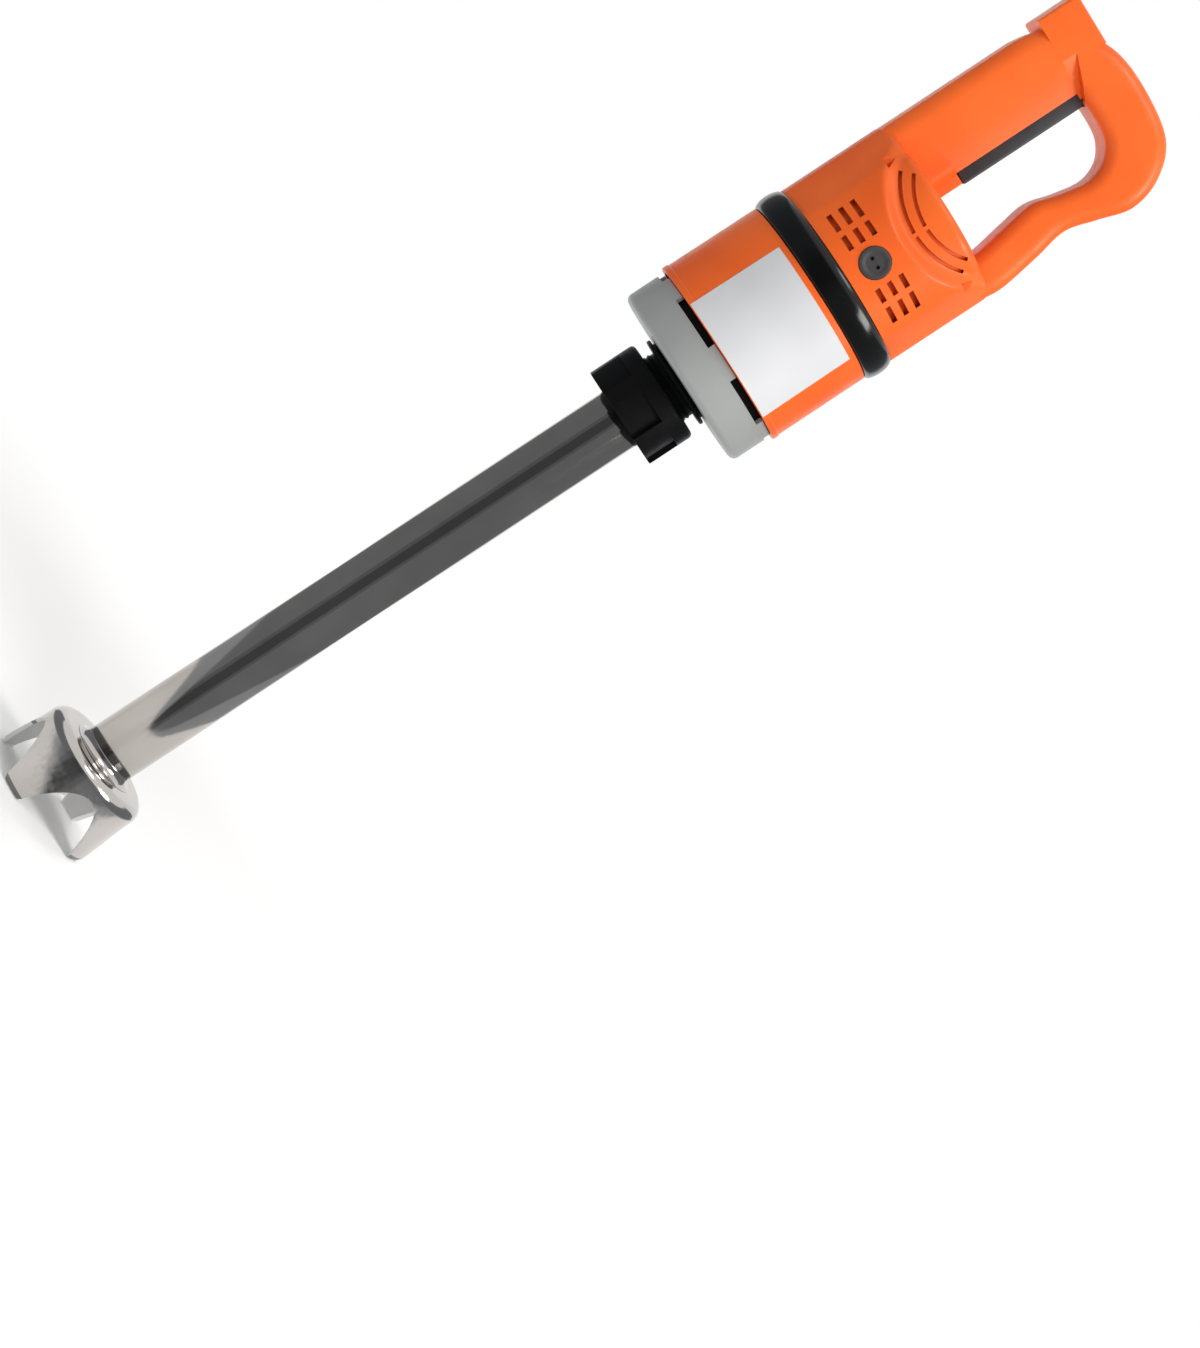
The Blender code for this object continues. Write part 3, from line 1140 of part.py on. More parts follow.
def make_brush_gear():
    """On each side a holder in its boss, a carbon brush, its spring and the screwed cap."""
    cap_outer = CASING_RADIUS + 0.0004
    cap_inner = cap_outer - 0.0068
    holder_head = cap_inner - GAP
    holder_neck = holder_head - 0.006
    brush_tip = COMMUTATOR_RADIUS + GAP
    brush_back = brush_tip + BRUSH_LENGTH
    bore_x = BRUSH_HALF_WIDTH + GAP
    bore_z = BRUSH_HALF_HEIGHT + GAP
    for side, label in ((-1, "left"), (1, "right")):
        place = along_y(0, BRUSH_Z, side)
        cap = rod(f"brush_cap_{label}", CAP_RADIUS, cap_inner, cap_outer, SMALL_ROUND, BLACK, place)
        for end in (-1, 1):
            pin = Matrix.Translation((end * CAP_PIN_SPACING / 2, 0, 0))
            cut(cap, rod(f"cap_pin_hole_{label}_{end}", CAP_PIN_RADIUS, cap_outer - 0.003, cap_outer + 0.002, 8,
                         place=place @ pin))
        holder = rod(f"brush_holder_{label}", CAP_RADIUS, holder_neck, holder_head, SMALL_ROUND, BLACK, place)
        low_y, high_y = sorted((side * (brush_tip + 0.0025), side * (holder_neck + 0.001)))
        join(holder, box(f"holder_tube_{label}", (-bore_x - HOLDER_WALL, low_y, BRUSH_Z - bore_z - HOLDER_WALL),
                         (bore_x + HOLDER_WALL, high_y, BRUSH_Z + bore_z + HOLDER_WALL)))
        low_y, high_y = sorted((side * 0.005, side * 0.07))
        cut(holder, box(f"holder_bore_{label}", (-bore_x, low_y, BRUSH_Z - bore_z), (bore_x, high_y, BRUSH_Z + bore_z)))
        low_y, high_y = sorted((side * brush_tip, side * brush_back))
        box(f"carbon_brush_{label}", (-BRUSH_HALF_WIDTH, low_y, BRUSH_Z - BRUSH_HALF_HEIGHT),
            (BRUSH_HALF_WIDTH, high_y, BRUSH_Z + BRUSH_HALF_HEIGHT), CARBON)
        make_brush_spring(label, place, brush_back + 0.0008, cap_inner - 0.0008)


def make_brush_spring(label, place, start, end):
    curve = bpy.data.curves.new(f"brush_spring_{label}", "CURVE")
    curve.dimensions = "3D"
    curve.bevel_depth = 0.0004
    curve.bevel_resolution = 0
    curve.use_fill_caps = True
    turns = 5
    per_turn = 8
    spline = curve.splines.new("POLY")
    spline.points.add(turns * per_turn)
    for i, point in enumerate(spline.points):
        angle = math.tau * i / per_turn
        height = start + (end - start) * i / (turns * per_turn)
        point.co = (0.0024 * math.cos(angle), 0.0024 * math.sin(angle), height, 1)
    spring = bpy.data.objects.new(f"brush_spring_{label}", curve)
    curve.materials.append(STEEL)
    spring.matrix_world = place
    PARTS.objects.link(spring)


def stator_bore():
    """The stator's inner outline: two pole faces on the X axis and a coil window each side of them."""
    points = []
    for centre in (0, math.pi):
        for i in range(9):
            turn = centre + POLE_HALF_ANGLE * (i / 4 - 1)
            points.append((POLE_RADIUS * math.cos(turn), POLE_RADIUS * math.sin(turn)))
        for i in range(9):
            turn = centre + POLE_HALF_ANGLE + (math.pi - 2 * POLE_HALF_ANGLE) * i / 8
            points.append((WINDOW_RADIUS * math.cos(turn), WINDOW_RADIUS * math.sin(turn)))
    return points


def make_stator():
    flat("stator_core", [circle(STATOR_RADIUS, ROUND), stator_bore()], STATOR_BOTTOM, STATOR_TOP, LAMINATION)
    inner = POLE_RADIUS + 0.0018
    outer = WINDOW_RADIUS - 2 * GAP
    window = POLE_HALF_ANGLE + math.radians(1.5)
    for label, middle in (("upper", math.pi), ("lower", 0)):
        outline = sector(inner, outer, middle, COIL_HALF_ANGLE, 8)
        coil = flat(f"field_coil_{label}", [outline], STATOR_BOTTOM - COIL_END, STATOR_TOP + COIL_END, COPPER)
        opening = sector(inner - 0.003, outer + 0.003, middle, window, 6)
        cut(coil, flat(f"coil_window_{label}", [opening], STATOR_BOTTOM - GAP, STATOR_TOP + GAP))


def make_armature():
    bore = MOTOR_SHAFT_RADIUS + GAP
    journal = BRACKET_BOTTOM - 0.001
    end = REAR_BEARING_BOTTOM + BEARING_WIDTH + 0.0015
    profile = [(0, end), (REAR_JOURNAL_RADIUS, end), (REAR_JOURNAL_RADIUS, journal), (MOTOR_SHAFT_RADIUS, journal),
               (MOTOR_SHAFT_RADIUS, MOTOR_SHAFT_BOTTOM), (0, MOTOR_SHAFT_BOTTOM)]
    shaft = turned("armature_shaft", profile, SMALL_ROUND, STEEL)
    rim = POLE_RADIUS - AIR_GAP
    outline = []
    for i in range(ARMATURE_SLOTS):
        middle = math.tau * i / ARMATURE_SLOTS
        for share, radius in ((-0.38, rim), (0, rim), (0.38, rim), (0.38, rim - 0.0015), (0.25, rim - 0.011),
                              (0.75, rim - 0.011), (0.62, rim - 0.0015)):
            turn = middle + math.tau * share / ARMATURE_SLOTS
            outline.append((radius * math.cos(turn), radius * math.sin(turn)))
    core = flat("armature_core", [outline, circle(bore, SMALL_ROUND)], STATOR_BOTTOM, STATOR_TOP, LAMINATION)
    winding_outer = rim - 0.004
    front = [(bore, STATOR_BOTTOM - GAP), (winding_outer, STATOR_BOTTOM - GAP), (winding_outer - 0.001,
             STATOR_BOTTOM - 0.0045), (winding_outer - 0.006, STATOR_BOTTOM - 0.0062), (bore, STATOR_BOTTOM - 0.005)]
    rear = [(bore, STATOR_TOP + GAP), (winding_outer, STATOR_TOP + GAP), (winding_outer - 0.001,
            STATOR_TOP + 0.007), (winding_outer - 0.006, STATOR_TOP + 0.010), (bore, STATOR_TOP + 0.008)]
    commutator_low = BRUSH_Z - COMMUTATOR_LENGTH / 2
    pieces = [
        shaft,
        core,
        turned("armature_winding_front", front, SMALL_ROUND, COPPER),
        turned("armature_winding_rear", rear, SMALL_ROUND, COPPER),
        tube("commutator", bore, COMMUTATOR_RADIUS, commutator_low, commutator_low + COMMUTATOR_LENGTH, SMALL_ROUND,
             COPPER),
        make_cooling_fan(bore),
        make_drive_socket(),
    ]
    parent_all("armature_axis", (0, 0, STATOR_BOTTOM), pieces)


def make_cooling_fan(bore):
    """Back plate, hub and radial blades."""
    low = COVER_FRONT + COVER_HUB_LENGTH + 0.0015
    high = low + FAN_LENGTH
    hub = [(bore, low), (bore + 0.005, low), (bore + 0.005, high - 0.002), (FAN_RADIUS, high - 0.002),
           (FAN_RADIUS, high), (bore, high)]
    fan = turned("cooling_fan", hub, 24, BLACK)
    for i in range(FAN_BLADES):
        place = Matrix.Rotation(math.tau * i / FAN_BLADES, 4, "Z")
        outline = [(0.013, -0.0008), (FAN_RADIUS - 0.001, 0.0052), (FAN_RADIUS - 0.001, 0.0068), (0.013, 0.0008)]
        join(fan, flat(f"fan_blade_{i + 1}", [outline], low + 0.0005, high - 0.001, place=place))
    return fan


def make_drive_socket():
    bore = MOTOR_SHAFT_RADIUS + GAP
    socket = tube("drive_socket", bore, SOCKET_RADIUS, SOCKET_BOTTOM, SOCKET_TOP, SMALL_ROUND, STEEL)
    recess = hexagon(DOG_FLATS + 2 * DOG_CLEARANCE)
    cut(socket, flat("dog_recess", [recess], SOCKET_BOTTOM - 0.002, DOG_TOP + 0.0008))
    return socket


def make_bearings():
    tube("front_bearing", MOTOR_SHAFT_RADIUS + GAP, FRONT_BEARING_RADIUS, FRONT_BEARING_BOTTOM,
         FRONT_BEARING_BOTTOM + BEARING_WIDTH - GAP, SMALL_ROUND, STEEL)
    tube("rear_bearing", REAR_JOURNAL_RADIUS + GAP, REAR_BEARING_RADIUS, REAR_BEARING_BOTTOM,
         REAR_BEARING_BOTTOM + BEARING_WIDTH - GAP, SMALL_ROUND, STEEL)


def make_rear_bracket():
    """Spider with a bearing pocket; its four posts stand on the barrel's spigot and take the motor bolts."""
    pocket = REAR_BEARING_RADIUS + GAP
    top = REAR_BEARING_BOTTOM + BEARING_WIDTH
    hub = [(pocket, top), (pocket + 0.003, top), (pocket + 0.003, BRACKET_BOTTOM), (REAR_JOURNAL_RADIUS + 0.002,
           BRACKET_BOTTOM), (REAR_JOURNAL_RADIUS + 0.002, REAR_BEARING_BOTTOM - GAP), (pocket,
           REAR_BEARING_BOTTOM - GAP)]
    bracket = turned("rear_bearing_bracket", hub, SMALL_ROUND, LAMINATION)
    post = min(BOLT_RADIUS + 0.003, SPIGOT_RADIUS - BOLT_CIRCLE)
    for i, x, y in bolt_places():
        turn = math.atan2(y, x)
        arm_end = BOLT_CIRCLE + 0.001
        arm = [(pocket + 0.001, -0.004), (arm_end, -0.004), (arm_end, 0.004), (pocket + 0.001, 0.004)]
        join(bracket, flat(f"bracket_arm_{i}", [arm], BRACKET_BOTTOM, BRACKET_BOTTOM + BRACKET_THICKNESS,
                           place=Matrix.Rotation(turn, 4, "Z")))
        place = Matrix.Translation((x, y, 0))
        join(bracket, rod(f"bracket_post_{i}", post, SPIGOT_REAR + GAP, BRACKET_BOTTOM + BRACKET_THICKNESS,
                          TINY_ROUND, place=place))
    for i, x, y in bolt_places():
        cut(bracket, rod(f"bracket_hole_{i}", BOLT_RADIUS + GAP, SPIGOT_REAR - 0.01, BRACKET_BOTTOM + 0.02, 10,
                         place=Matrix.Translation((x, y, 0))))
    return bracket


def shade():
    for made in PARTS.objects:
        if made.type == "MESH":
            made.data.shade_smooth()
            made.data.set_sharp_from_angle(angle=math.radians(32))


def main():
    make_shaft_assembly()
    make_coupling_nut()
    make_drive()
    make_coupling_neck()
    make_front_cover()
    make_motor_bolts()
    make_motor_barrel()
    make_bumper_ring()
    make_housing()
    make_housing_screws()
    make_cord_inlet()
    make_trigger()
    make_brush_gear()
    make_stator()
    make_armature()
    make_bearings()
    make_rear_bracket()
    shade()


main()
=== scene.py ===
# %% [markdown]
# # A commercial immersion blender
# The object is a long hand tool: an orange motor head with a D-shaped handle, a grey front cover, a black
# coupling nut, a stainless tube and a four-legged guard round the blade. It arrives here as a finished
# engineering model, which this lesson never moves or reshapes. We lay smoother pieces over the parts that
# are seen, and give every part its own material.

import math

import bmesh
import bpy
from mathutils import Matrix, Vector


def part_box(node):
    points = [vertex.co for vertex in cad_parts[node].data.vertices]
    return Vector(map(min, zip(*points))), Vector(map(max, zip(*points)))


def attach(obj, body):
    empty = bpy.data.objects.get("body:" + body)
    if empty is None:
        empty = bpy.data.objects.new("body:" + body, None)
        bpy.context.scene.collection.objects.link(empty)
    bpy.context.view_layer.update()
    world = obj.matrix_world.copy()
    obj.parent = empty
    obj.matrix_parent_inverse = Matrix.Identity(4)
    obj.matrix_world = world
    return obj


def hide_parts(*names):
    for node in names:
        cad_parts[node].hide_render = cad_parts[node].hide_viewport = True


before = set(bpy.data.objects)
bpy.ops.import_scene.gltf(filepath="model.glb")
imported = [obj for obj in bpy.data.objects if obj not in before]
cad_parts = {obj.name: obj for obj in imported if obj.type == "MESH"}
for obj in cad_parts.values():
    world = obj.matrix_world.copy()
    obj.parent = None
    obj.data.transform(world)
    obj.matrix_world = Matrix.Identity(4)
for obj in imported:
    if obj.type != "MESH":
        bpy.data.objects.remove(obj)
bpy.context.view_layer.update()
scene = bpy.context.scene

# %% [markdown]
# ## Where the camera stands
# The tool was photographed from about one and a half metres, a little to the grip side, and the picture
# was turned so that the shaft runs from lower left to upper right. We point the camera at a spot beside the
# shaft and then roll it. A small lens shift moves the tool up in the frame, as in the photograph, and keeps
# the long barrel from looking stretched at one end.

# %% Camera
def add_to_scene(name, data):
    thing = bpy.data.objects.new(name, data)
    scene.collection.objects.link(thing)
    return thing


camera_place = Vector((-0.16242, -1.61851, 0.42336))
aim_point = Vector((0.11776, 0.0, 0.40074))
camera_roll = math.radians(56.718)
camera = add_to_scene("camera", bpy.data.cameras.new("camera"))
scene.camera = camera
camera.location = camera_place
look = (aim_point - camera_place).to_track_quat("-Z", "Y")
camera.rotation_euler = (look.to_matrix() @ Matrix.Rotation(camera_roll, 3, "Z")).to_euler()
camera.data.lens = 72.56
camera.data.sensor_width = 36
camera.data.shift_x = -0.0782
camera.data.shift_y = -0.0588
camera.data.clip_start = 0.05
print("camera to shaft:", round((aim_point - camera_place).length, 3), "m")

# %% [markdown]
# ## Light and background
# A product like this is shot on white. The world is white wherever the camera or a reflection looks, but
# softer as a light, so that colours keep their value. Polished steel only looks like steel when it has
# something dark to reflect, so photographers stand cards beside the camera. We curve one grey card behind
# the camera, with darker strips in it, and it shows only in reflections. Its near edge lies on the floor
# and swings away to both sides, which gives the long reflection on the tube its pointed end.

# %% World
def set_sockets(node, **sockets):
    """Sets inputs of a node by name. A blank in a name is written as an underscore."""
    for socket, value in sockets.items():
        node.inputs[socket.replace("_", " ")].default_value = value


def add_node(tree, kind, operation=None, **sockets):
    node = tree.nodes.new(kind)
    if operation:
        node.operation = operation
    set_sockets(node, **sockets)
    return node


def connect(tree, *pairs):
    """Links each pair of an output and an input."""
    for giving, taking in pairs:
        tree.links.new(giving, taking)


world = bpy.data.worlds.new("studio")
scene.world = world
scene.view_settings.view_transform = "Standard"
world.use_nodes = True
tree = world.node_tree
tree.nodes.clear()
seen_white = add_node(tree, "ShaderNodeBackground", Color=(1, 1, 1, 1), Strength=1)
soft_fill = add_node(tree, "ShaderNodeBackground", Color=(1, 1, 1, 1), Strength=0.42)
ray = add_node(tree, "ShaderNodeLightPath")
camera_or_gloss = add_node(tree, "ShaderNodeMath", "MAXIMUM")
or_transmission = add_node(tree, "ShaderNodeMath", "MAXIMUM")
choose = add_node(tree, "ShaderNodeMixShader")
world_out = add_node(tree, "ShaderNodeOutputWorld")
connect(tree,
        (ray.outputs["Is Camera Ray"], camera_or_gloss.inputs[0]),
        (ray.outputs["Is Glossy Ray"], camera_or_gloss.inputs[1]),
        (camera_or_gloss.outputs[0], or_transmission.inputs[0]),
        (ray.outputs["Is Transmission Ray"], or_transmission.inputs[1]),
        (or_transmission.outputs[0], choose.inputs["Fac"]),
        (soft_fill.outputs[0], choose.inputs[1]),
        (seen_white.outputs[0], choose.inputs[2]),
        (choose.outputs[0], world_out.inputs["Surface"]))
print("world ready")

# %% Lamps
def softbox(name, place, target, width, height, watts, tint=(1, 1, 1)):
    lamp = bpy.data.lights.new(name, "AREA")
    lamp.shape = "RECTANGLE"
    lamp.size = width
    lamp.size_y = height
    lamp.energy = watts
    lamp.color = tint
    holder = add_to_scene(name, lamp)
    holder.location = place
    holder.rotation_euler = (Vector(target) - Vector(place)).to_track_quat("-Z", "Y").to_euler()
    return holder


softbox("key_softbox", (1.5, -1.0, 1.5), (0, 0, 0.55), 0.8, 0.8, 24, (1, 0.98, 0.95))
softbox("top_softbox", (0.1, -0.9, 2.2), (0, 0, 0.6), 0.6, 0.6, 9)
softbox("front_softbox", (0.5, -2.1, 0.9), (0, 0, 0.6), 0.5, 0.5, 9).visible_glossy = False
softbox("back_softbox", (0.6, 1.6, 2.4), (0, 0, 0.5), 1.2, 1.2, 20).visible_glossy = False
softbox("side_softbox", (-2.0, 0.6, 0.9), (0, 0, 0.6), 0.4, 1.4, 3).visible_glossy = False


# %% Floor
def shader_of(made):
    return made.node_tree.nodes["Principled BSDF"]


def finish_base(name, colour, roughness, metallic=0.0, **sockets):
    """A material whose even values are all set on the shader's own sockets."""
    made = bpy.data.materials.new(name)
    made.use_nodes = True
    set_sockets(shader_of(made), Base_Color=(*colour, 1), Roughness=roughness, Metallic=metallic, **sockets)
    return made


floor_corners = [(-30, -30, -0.0005), (30, -30, -0.0005), (30, 30, -0.0005), (-30, 30, -0.0005)]
floor_mesh = bpy.data.meshes.new("studio_floor")
floor_mesh.from_pydata(floor_corners, [], [(0, 1, 2, 3)])
floor_white = finish_base("white_floor", (0.93, 0.93, 0.93), 0.9, Specular_IOR_Level=0.1,
                          Emission_Color=(1, 1, 1, 1))
tree = floor_white.node_tree
floor_ray = add_node(tree, "ShaderNodeLightPath")
floor_seen = add_node(tree, "ShaderNodeMath", "MAXIMUM")
floor_glow = add_node(tree, "ShaderNodeMath", "MULTIPLY")
floor_place = add_node(tree, "ShaderNodeTexCoord")
floor_distance = add_node(tree, "ShaderNodeVectorMath", "LENGTH")
floor_fade = add_node(tree, "ShaderNodeMapRange", From_Min=0.4, From_Max=1.8, To_Min=0.03, To_Max=0.61)
connect(tree,
        (floor_place.outputs["Object"], floor_distance.inputs[0]),
        (floor_distance.outputs["Value"], floor_fade.inputs["Value"]),
        (floor_fade.outputs["Result"], floor_glow.inputs[1]),
        (floor_ray.outputs["Is Camera Ray"], floor_seen.inputs[0]),
        (floor_ray.outputs["Is Glossy Ray"], floor_seen.inputs[1]),
        (floor_seen.outputs[0], floor_glow.inputs[0]),
        (floor_glow.outputs[0], shader_of(floor_white).inputs["Emission Strength"]))
floor_mesh.materials.append(floor_white)
floor = add_to_scene("studio_floor", floor_mesh)
print("floor:", [round(side, 1) for side in floor.dimensions])


# %% Card
def on_circle(radius, angle):
    return radius * math.cos(angle), radius * math.sin(angle)


def card_tone(name, level):
    """A card of one even tone, so that a reflection of it doesn't depend on the lamps."""
    return finish_base(name, (0, 0, 0), 0.9, Specular_IOR_Level=0.1, Emission_Color=(0.94, 1, 1.08, 1),
                       Emission_Strength=level)


# The card lies on the floor near the tool, then curves up behind the camera. A lighter rim along its near
# edge softens the end of its reflection on the tube.
card_middle = -96
card_half = 146
card_steps = 92
card_rows = 5
card_near = 0.153
card_points = []
for step in range(card_steps + 1):
    turn = card_half * (2 * step / card_steps - 1)
    share = abs(turn) / card_half
    growth = 0.78 * share ** 1.5 if turn < 0 else 0.72 * share ** 2.5 + 0.3 * max(0, share - 0.36)
    rim_edge = card_near + (0.45 if turn < 0 else 0.3) * growth
    near_edge = card_near + growth
    profile = ((rim_edge, 0.004), (near_edge, 0.004), (1.5, 0.004), (2.3, 0.12), (2.6, 0.5), (2.7, 2.0))
    for reach, height in profile:
        card_points.append((*on_circle(reach, math.radians(card_middle + turn)), height))
card_faces = []
for step in range(card_steps):
    for row in range(card_rows):
        low = (card_rows + 1) * step + row
        card_faces.append((low, low + 1, low + card_rows + 2, low + card_rows + 1))
card_mesh = bpy.data.meshes.new("grey_card")
card_mesh.from_pydata(card_points, [], card_faces)
for name, level in (("card_grey", 0.22), ("card_dusk", 0.15), ("card_dark", 0.08), ("card_rim", 0.42)):
    card_mesh.materials.append(card_tone(name, level))
for index, face in enumerate(card_mesh.polygons):
    turn = card_half * (2 * (index // card_rows + 0.5) / card_steps - 1)
    if index % card_rows == 0:
        face.material_index = 3
    else:
        face.material_index = 2 if -29 < turn < 4 else 1 if -40 < turn < 14 else 0
grey_card = add_to_scene("grey_card", card_mesh)
grey_card.visible_camera = False
grey_card.visible_diffuse = False
grey_card.visible_shadow = False
print("stage ready, card faces:", len(card_faces))

# %% [markdown]
# ## Materials that carry detail
# Every finish here is built from procedural noise in object space, measured in metres, so the grain of the
# mould or the polish has its true size. Small helpers do the wiring: one adds a noise, and the others turn a
# noise into a change of tone, a change of gloss or a bump.


# %% Material helpers
def add_noise(made, scale, stretch=(1, 1, 1), detail=3.0):
    tree = made.node_tree
    spot = add_node(tree, "ShaderNodeTexCoord")
    mapping = add_node(tree, "ShaderNodeMapping", Scale=stretch)
    noise = add_node(tree, "ShaderNodeTexNoise", Scale=scale, Detail=detail)
    connect(tree, (spot.outputs["Object"], mapping.inputs["Vector"]),
            (mapping.outputs["Vector"], noise.inputs["Vector"]))
    return noise


def feed_shader(made, noise, node, entry, result, socket):
    """Sends a noise through a node and on into a socket of the shader."""
    connect(made.node_tree, (noise.outputs["Fac"], node.inputs[entry]),
            (node.outputs[result], shader_of(made).inputs[socket]))


def vary_colour(made, noise, low, high):
    ramp = add_node(made.node_tree, "ShaderNodeValToRGB")
    for stop, colour, position in zip(ramp.color_ramp.elements, (low, high), (0.3, 0.7)):
        stop.color = (*colour, 1)
        stop.position = position
    feed_shader(made, noise, ramp, "Fac", "Color", "Base Color")


def vary_roughness(made, noise, low, high):
    spread = add_node(made.node_tree, "ShaderNodeMapRange", From_Min=0.3, From_Max=0.7, To_Min=low,
                      To_Max=high)
    feed_shader(made, noise, spread, "Value", "Result", "Roughness")


def add_bump(made, noise, depth):
    bump = add_node(made.node_tree, "ShaderNodeBump", Distance=depth, Strength=1)
    feed_shader(made, noise, bump, "Height", "Normal", "Normal")

# %% Finishes
def moulded(name, low, high, roughness, grain, depth, **sockets):
    """Moulded plastic: a slow change of tone, uneven gloss and the fine grain of the mould."""
    made = finish_base(name, high, roughness[0], **sockets)
    vary_colour(made, add_noise(made, 14, detail=2), low, high)
    vary_roughness(made, add_noise(made, 160), *roughness)
    add_bump(made, add_noise(made, grain), depth)
    return made


def metal(name, low, high, roughness, stretch=(1, 1, 1), scale=900, depth=0.000004):
    """Bare metal: brushed or turned grain comes from stretching the noise along the work."""
    made = finish_base(name, high, roughness[0], 1.0)
    vary_colour(made, add_noise(made, 25, detail=2), low, high)
    vary_roughness(made, add_noise(made, scale, stretch), *roughness)
    add_bump(made, add_noise(made, scale, stretch), depth)
    return made


ORANGE = moulded("orange_moulding", (0.80, 0.112, 0.014), (0.90, 0.155, 0.024), (0.3, 0.42), 1600, 0.00001,
                 Specular_IOR_Level=0.25)
GREY = moulded("grey_moulding", (0.285, 0.297, 0.293), (0.335, 0.347, 0.343), (0.36, 0.48), 1500, 0.000012)
BLACK = moulded("black_moulding", (0.003, 0.003, 0.0033), (0.006, 0.006, 0.0064), (0.35, 0.5), 1700,
                0.00002, Specular_IOR_Level=0.12)
TRIGGER_GREY = moulded("trigger_moulding", (0.035, 0.035, 0.038), (0.055, 0.054, 0.058), (0.4, 0.55), 1900,
                       0.00003)
CAP_GREY = moulded("cap_moulding", (0.045, 0.04, 0.042), (0.065, 0.058, 0.06), (0.4, 0.55), 1900, 0.00002)
GLOSS_BLACK = moulded("gloss_rubber", (0.002, 0.002, 0.002), (0.004, 0.004, 0.004), (0.14, 0.22), 400,
                      0.000006, Specular_IOR_Level=0.35)
RUBBER = moulded("soft_rubber", (0.012, 0.012, 0.012), (0.02, 0.02, 0.02), (0.6, 0.75), 1200, 0.00003)
STAINLESS = metal("polished_stainless", (0.43, 0.403, 0.375), (0.51, 0.478, 0.445), (0.06, 0.12),
                  (1, 1, 0.06))
GUARD_STEEL = metal("pressed_stainless", (0.50, 0.475, 0.45), (0.57, 0.54, 0.515), (0.08, 0.17), scale=300)
# A rougher and darker copy of the guard's steel for the inside and the undersides of the bell. The rougher
# gloss is the inner finish; the darker colour is painted shade.
SATIN_SHADED_STEEL = metal("satin_shaded_stainless", (0.17, 0.16, 0.155), (0.27, 0.26, 0.25), (0.35, 0.5),
                    (1, 1, 0.1), 700)
# For the leg tips: the rougher gloss of a ground edge, and a much darker colour that is painted shade.
GROUND_SHADED_STEEL = metal("ground_shaded_stainless", (0.10, 0.092, 0.088), (0.17, 0.16, 0.155), (0.3, 0.45))
TURNED_STEEL = metal("turned_steel", (0.42, 0.42, 0.43), (0.55, 0.55, 0.56), (0.25, 0.4), (0.1, 0.1, 1))
SCREW_STEEL = metal("zinc_steel", (0.36, 0.36, 0.37), (0.5, 0.5, 0.52), (0.3, 0.45))
LAMINATED = metal("laminated_steel", (0.12, 0.12, 0.13), (0.24, 0.24, 0.25), (0.4, 0.6),
                  (0.02, 0.02, 1), 1200, 0.0001)
COPPER = metal("enamelled_copper", (0.5, 0.16, 0.06), (0.72, 0.28, 0.11), (0.25, 0.4), (1, 1, 0.1), 700,
               0.0001)
BRONZE = metal("sintered_bronze", (0.38, 0.2, 0.08), (0.5, 0.29, 0.12), (0.35, 0.5))
BRASS = metal("turned_brass", (0.6, 0.42, 0.14), (0.75, 0.55, 0.22), (0.25, 0.4))
CAST = metal("cast_alloy", (0.4, 0.4, 0.41), (0.5, 0.5, 0.51), (0.45, 0.6), scale=800, depth=0.00005)
CARBON = moulded("pressed_carbon", (0.02, 0.02, 0.02), (0.035, 0.035, 0.036), (0.55, 0.75), 2500, 0.00004)
PLATE_WHITE = moulded("printed_plate", (0.60, 0.605, 0.625), (0.68, 0.685, 0.70), (0.28, 0.4), 500,
                      0.000008)
print("finishes:", len(bpy.data.materials))

# %% [markdown]
# ## Every engineering part gets its finish
# Most of the machine is inside the casing and is only seen when a piece is taken away, but it should look
# right then too. A table of finishes and part names covers them all, and the loop reports any part that
# the table has missed.

# %% Finishes for the solid parts
finishes = {
    ORANGE: "motor_barrel handle_shell_left handle_shell_right",
    GREY: "front_cover",
    BLACK: "coupling_nut coupling_neck switch_block upper_bush_carrier middle_bush drive_dog cooling_fan "
           "brush_holder_left brush_holder_right",
    CAP_GREY: "brush_cap_left brush_cap_right",
    TRIGGER_GREY: "trigger",
    GLOSS_BLACK: "bumper_ring",
    RUBBER: "cord_inlet collar_gasket shaft_seal",
    STAINLESS: "shaft_tube tube_collar",
    GUARD_STEEL: "blade_guard blade blade_nut",
    TURNED_STEEL: "drive_shaft drive_socket armature_shaft front_bearing rear_bearing trigger_pin",
    SCREW_STEEL: "trigger_spring brush_spring_left brush_spring_right "
                 "motor_bolt_1 motor_bolt_2 motor_bolt_3 motor_bolt_4 "
                 "handle_screw_1 handle_screw_2 handle_screw_3 handle_screw_4 handle_screw_5",
    LAMINATED: "stator_core armature_core",
    COPPER: "field_coil_upper field_coil_lower armature_winding_front armature_winding_rear commutator",
    BRONZE: "upper_bush lower_bush",
    BRASS: "switch_plunger",
    CAST: "rear_bearing_bracket",
    CARBON: "carbon_brush_left carbon_brush_right",
}
finish_of = {node: finish for finish, names in finishes.items() for node in names.split()}
for node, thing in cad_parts.items():
    if node not in finish_of:
        print("no finish for", node)
        continue
    thing.data.materials.clear()
    thing.data.materials.append(finish_of[node])
print("parts finished:", len(finish_of))

# %% [markdown]
# ## Turning and rounding
# Nearly everything on the shaft is turned or moulded round, so we draw half a section as a closed outline
# and spin it. Real edges are never sharp: light catches their small radius. Instead of bevelling a mesh
# afterwards, we round the corners of the outline first, which gives clean edge loops for free.


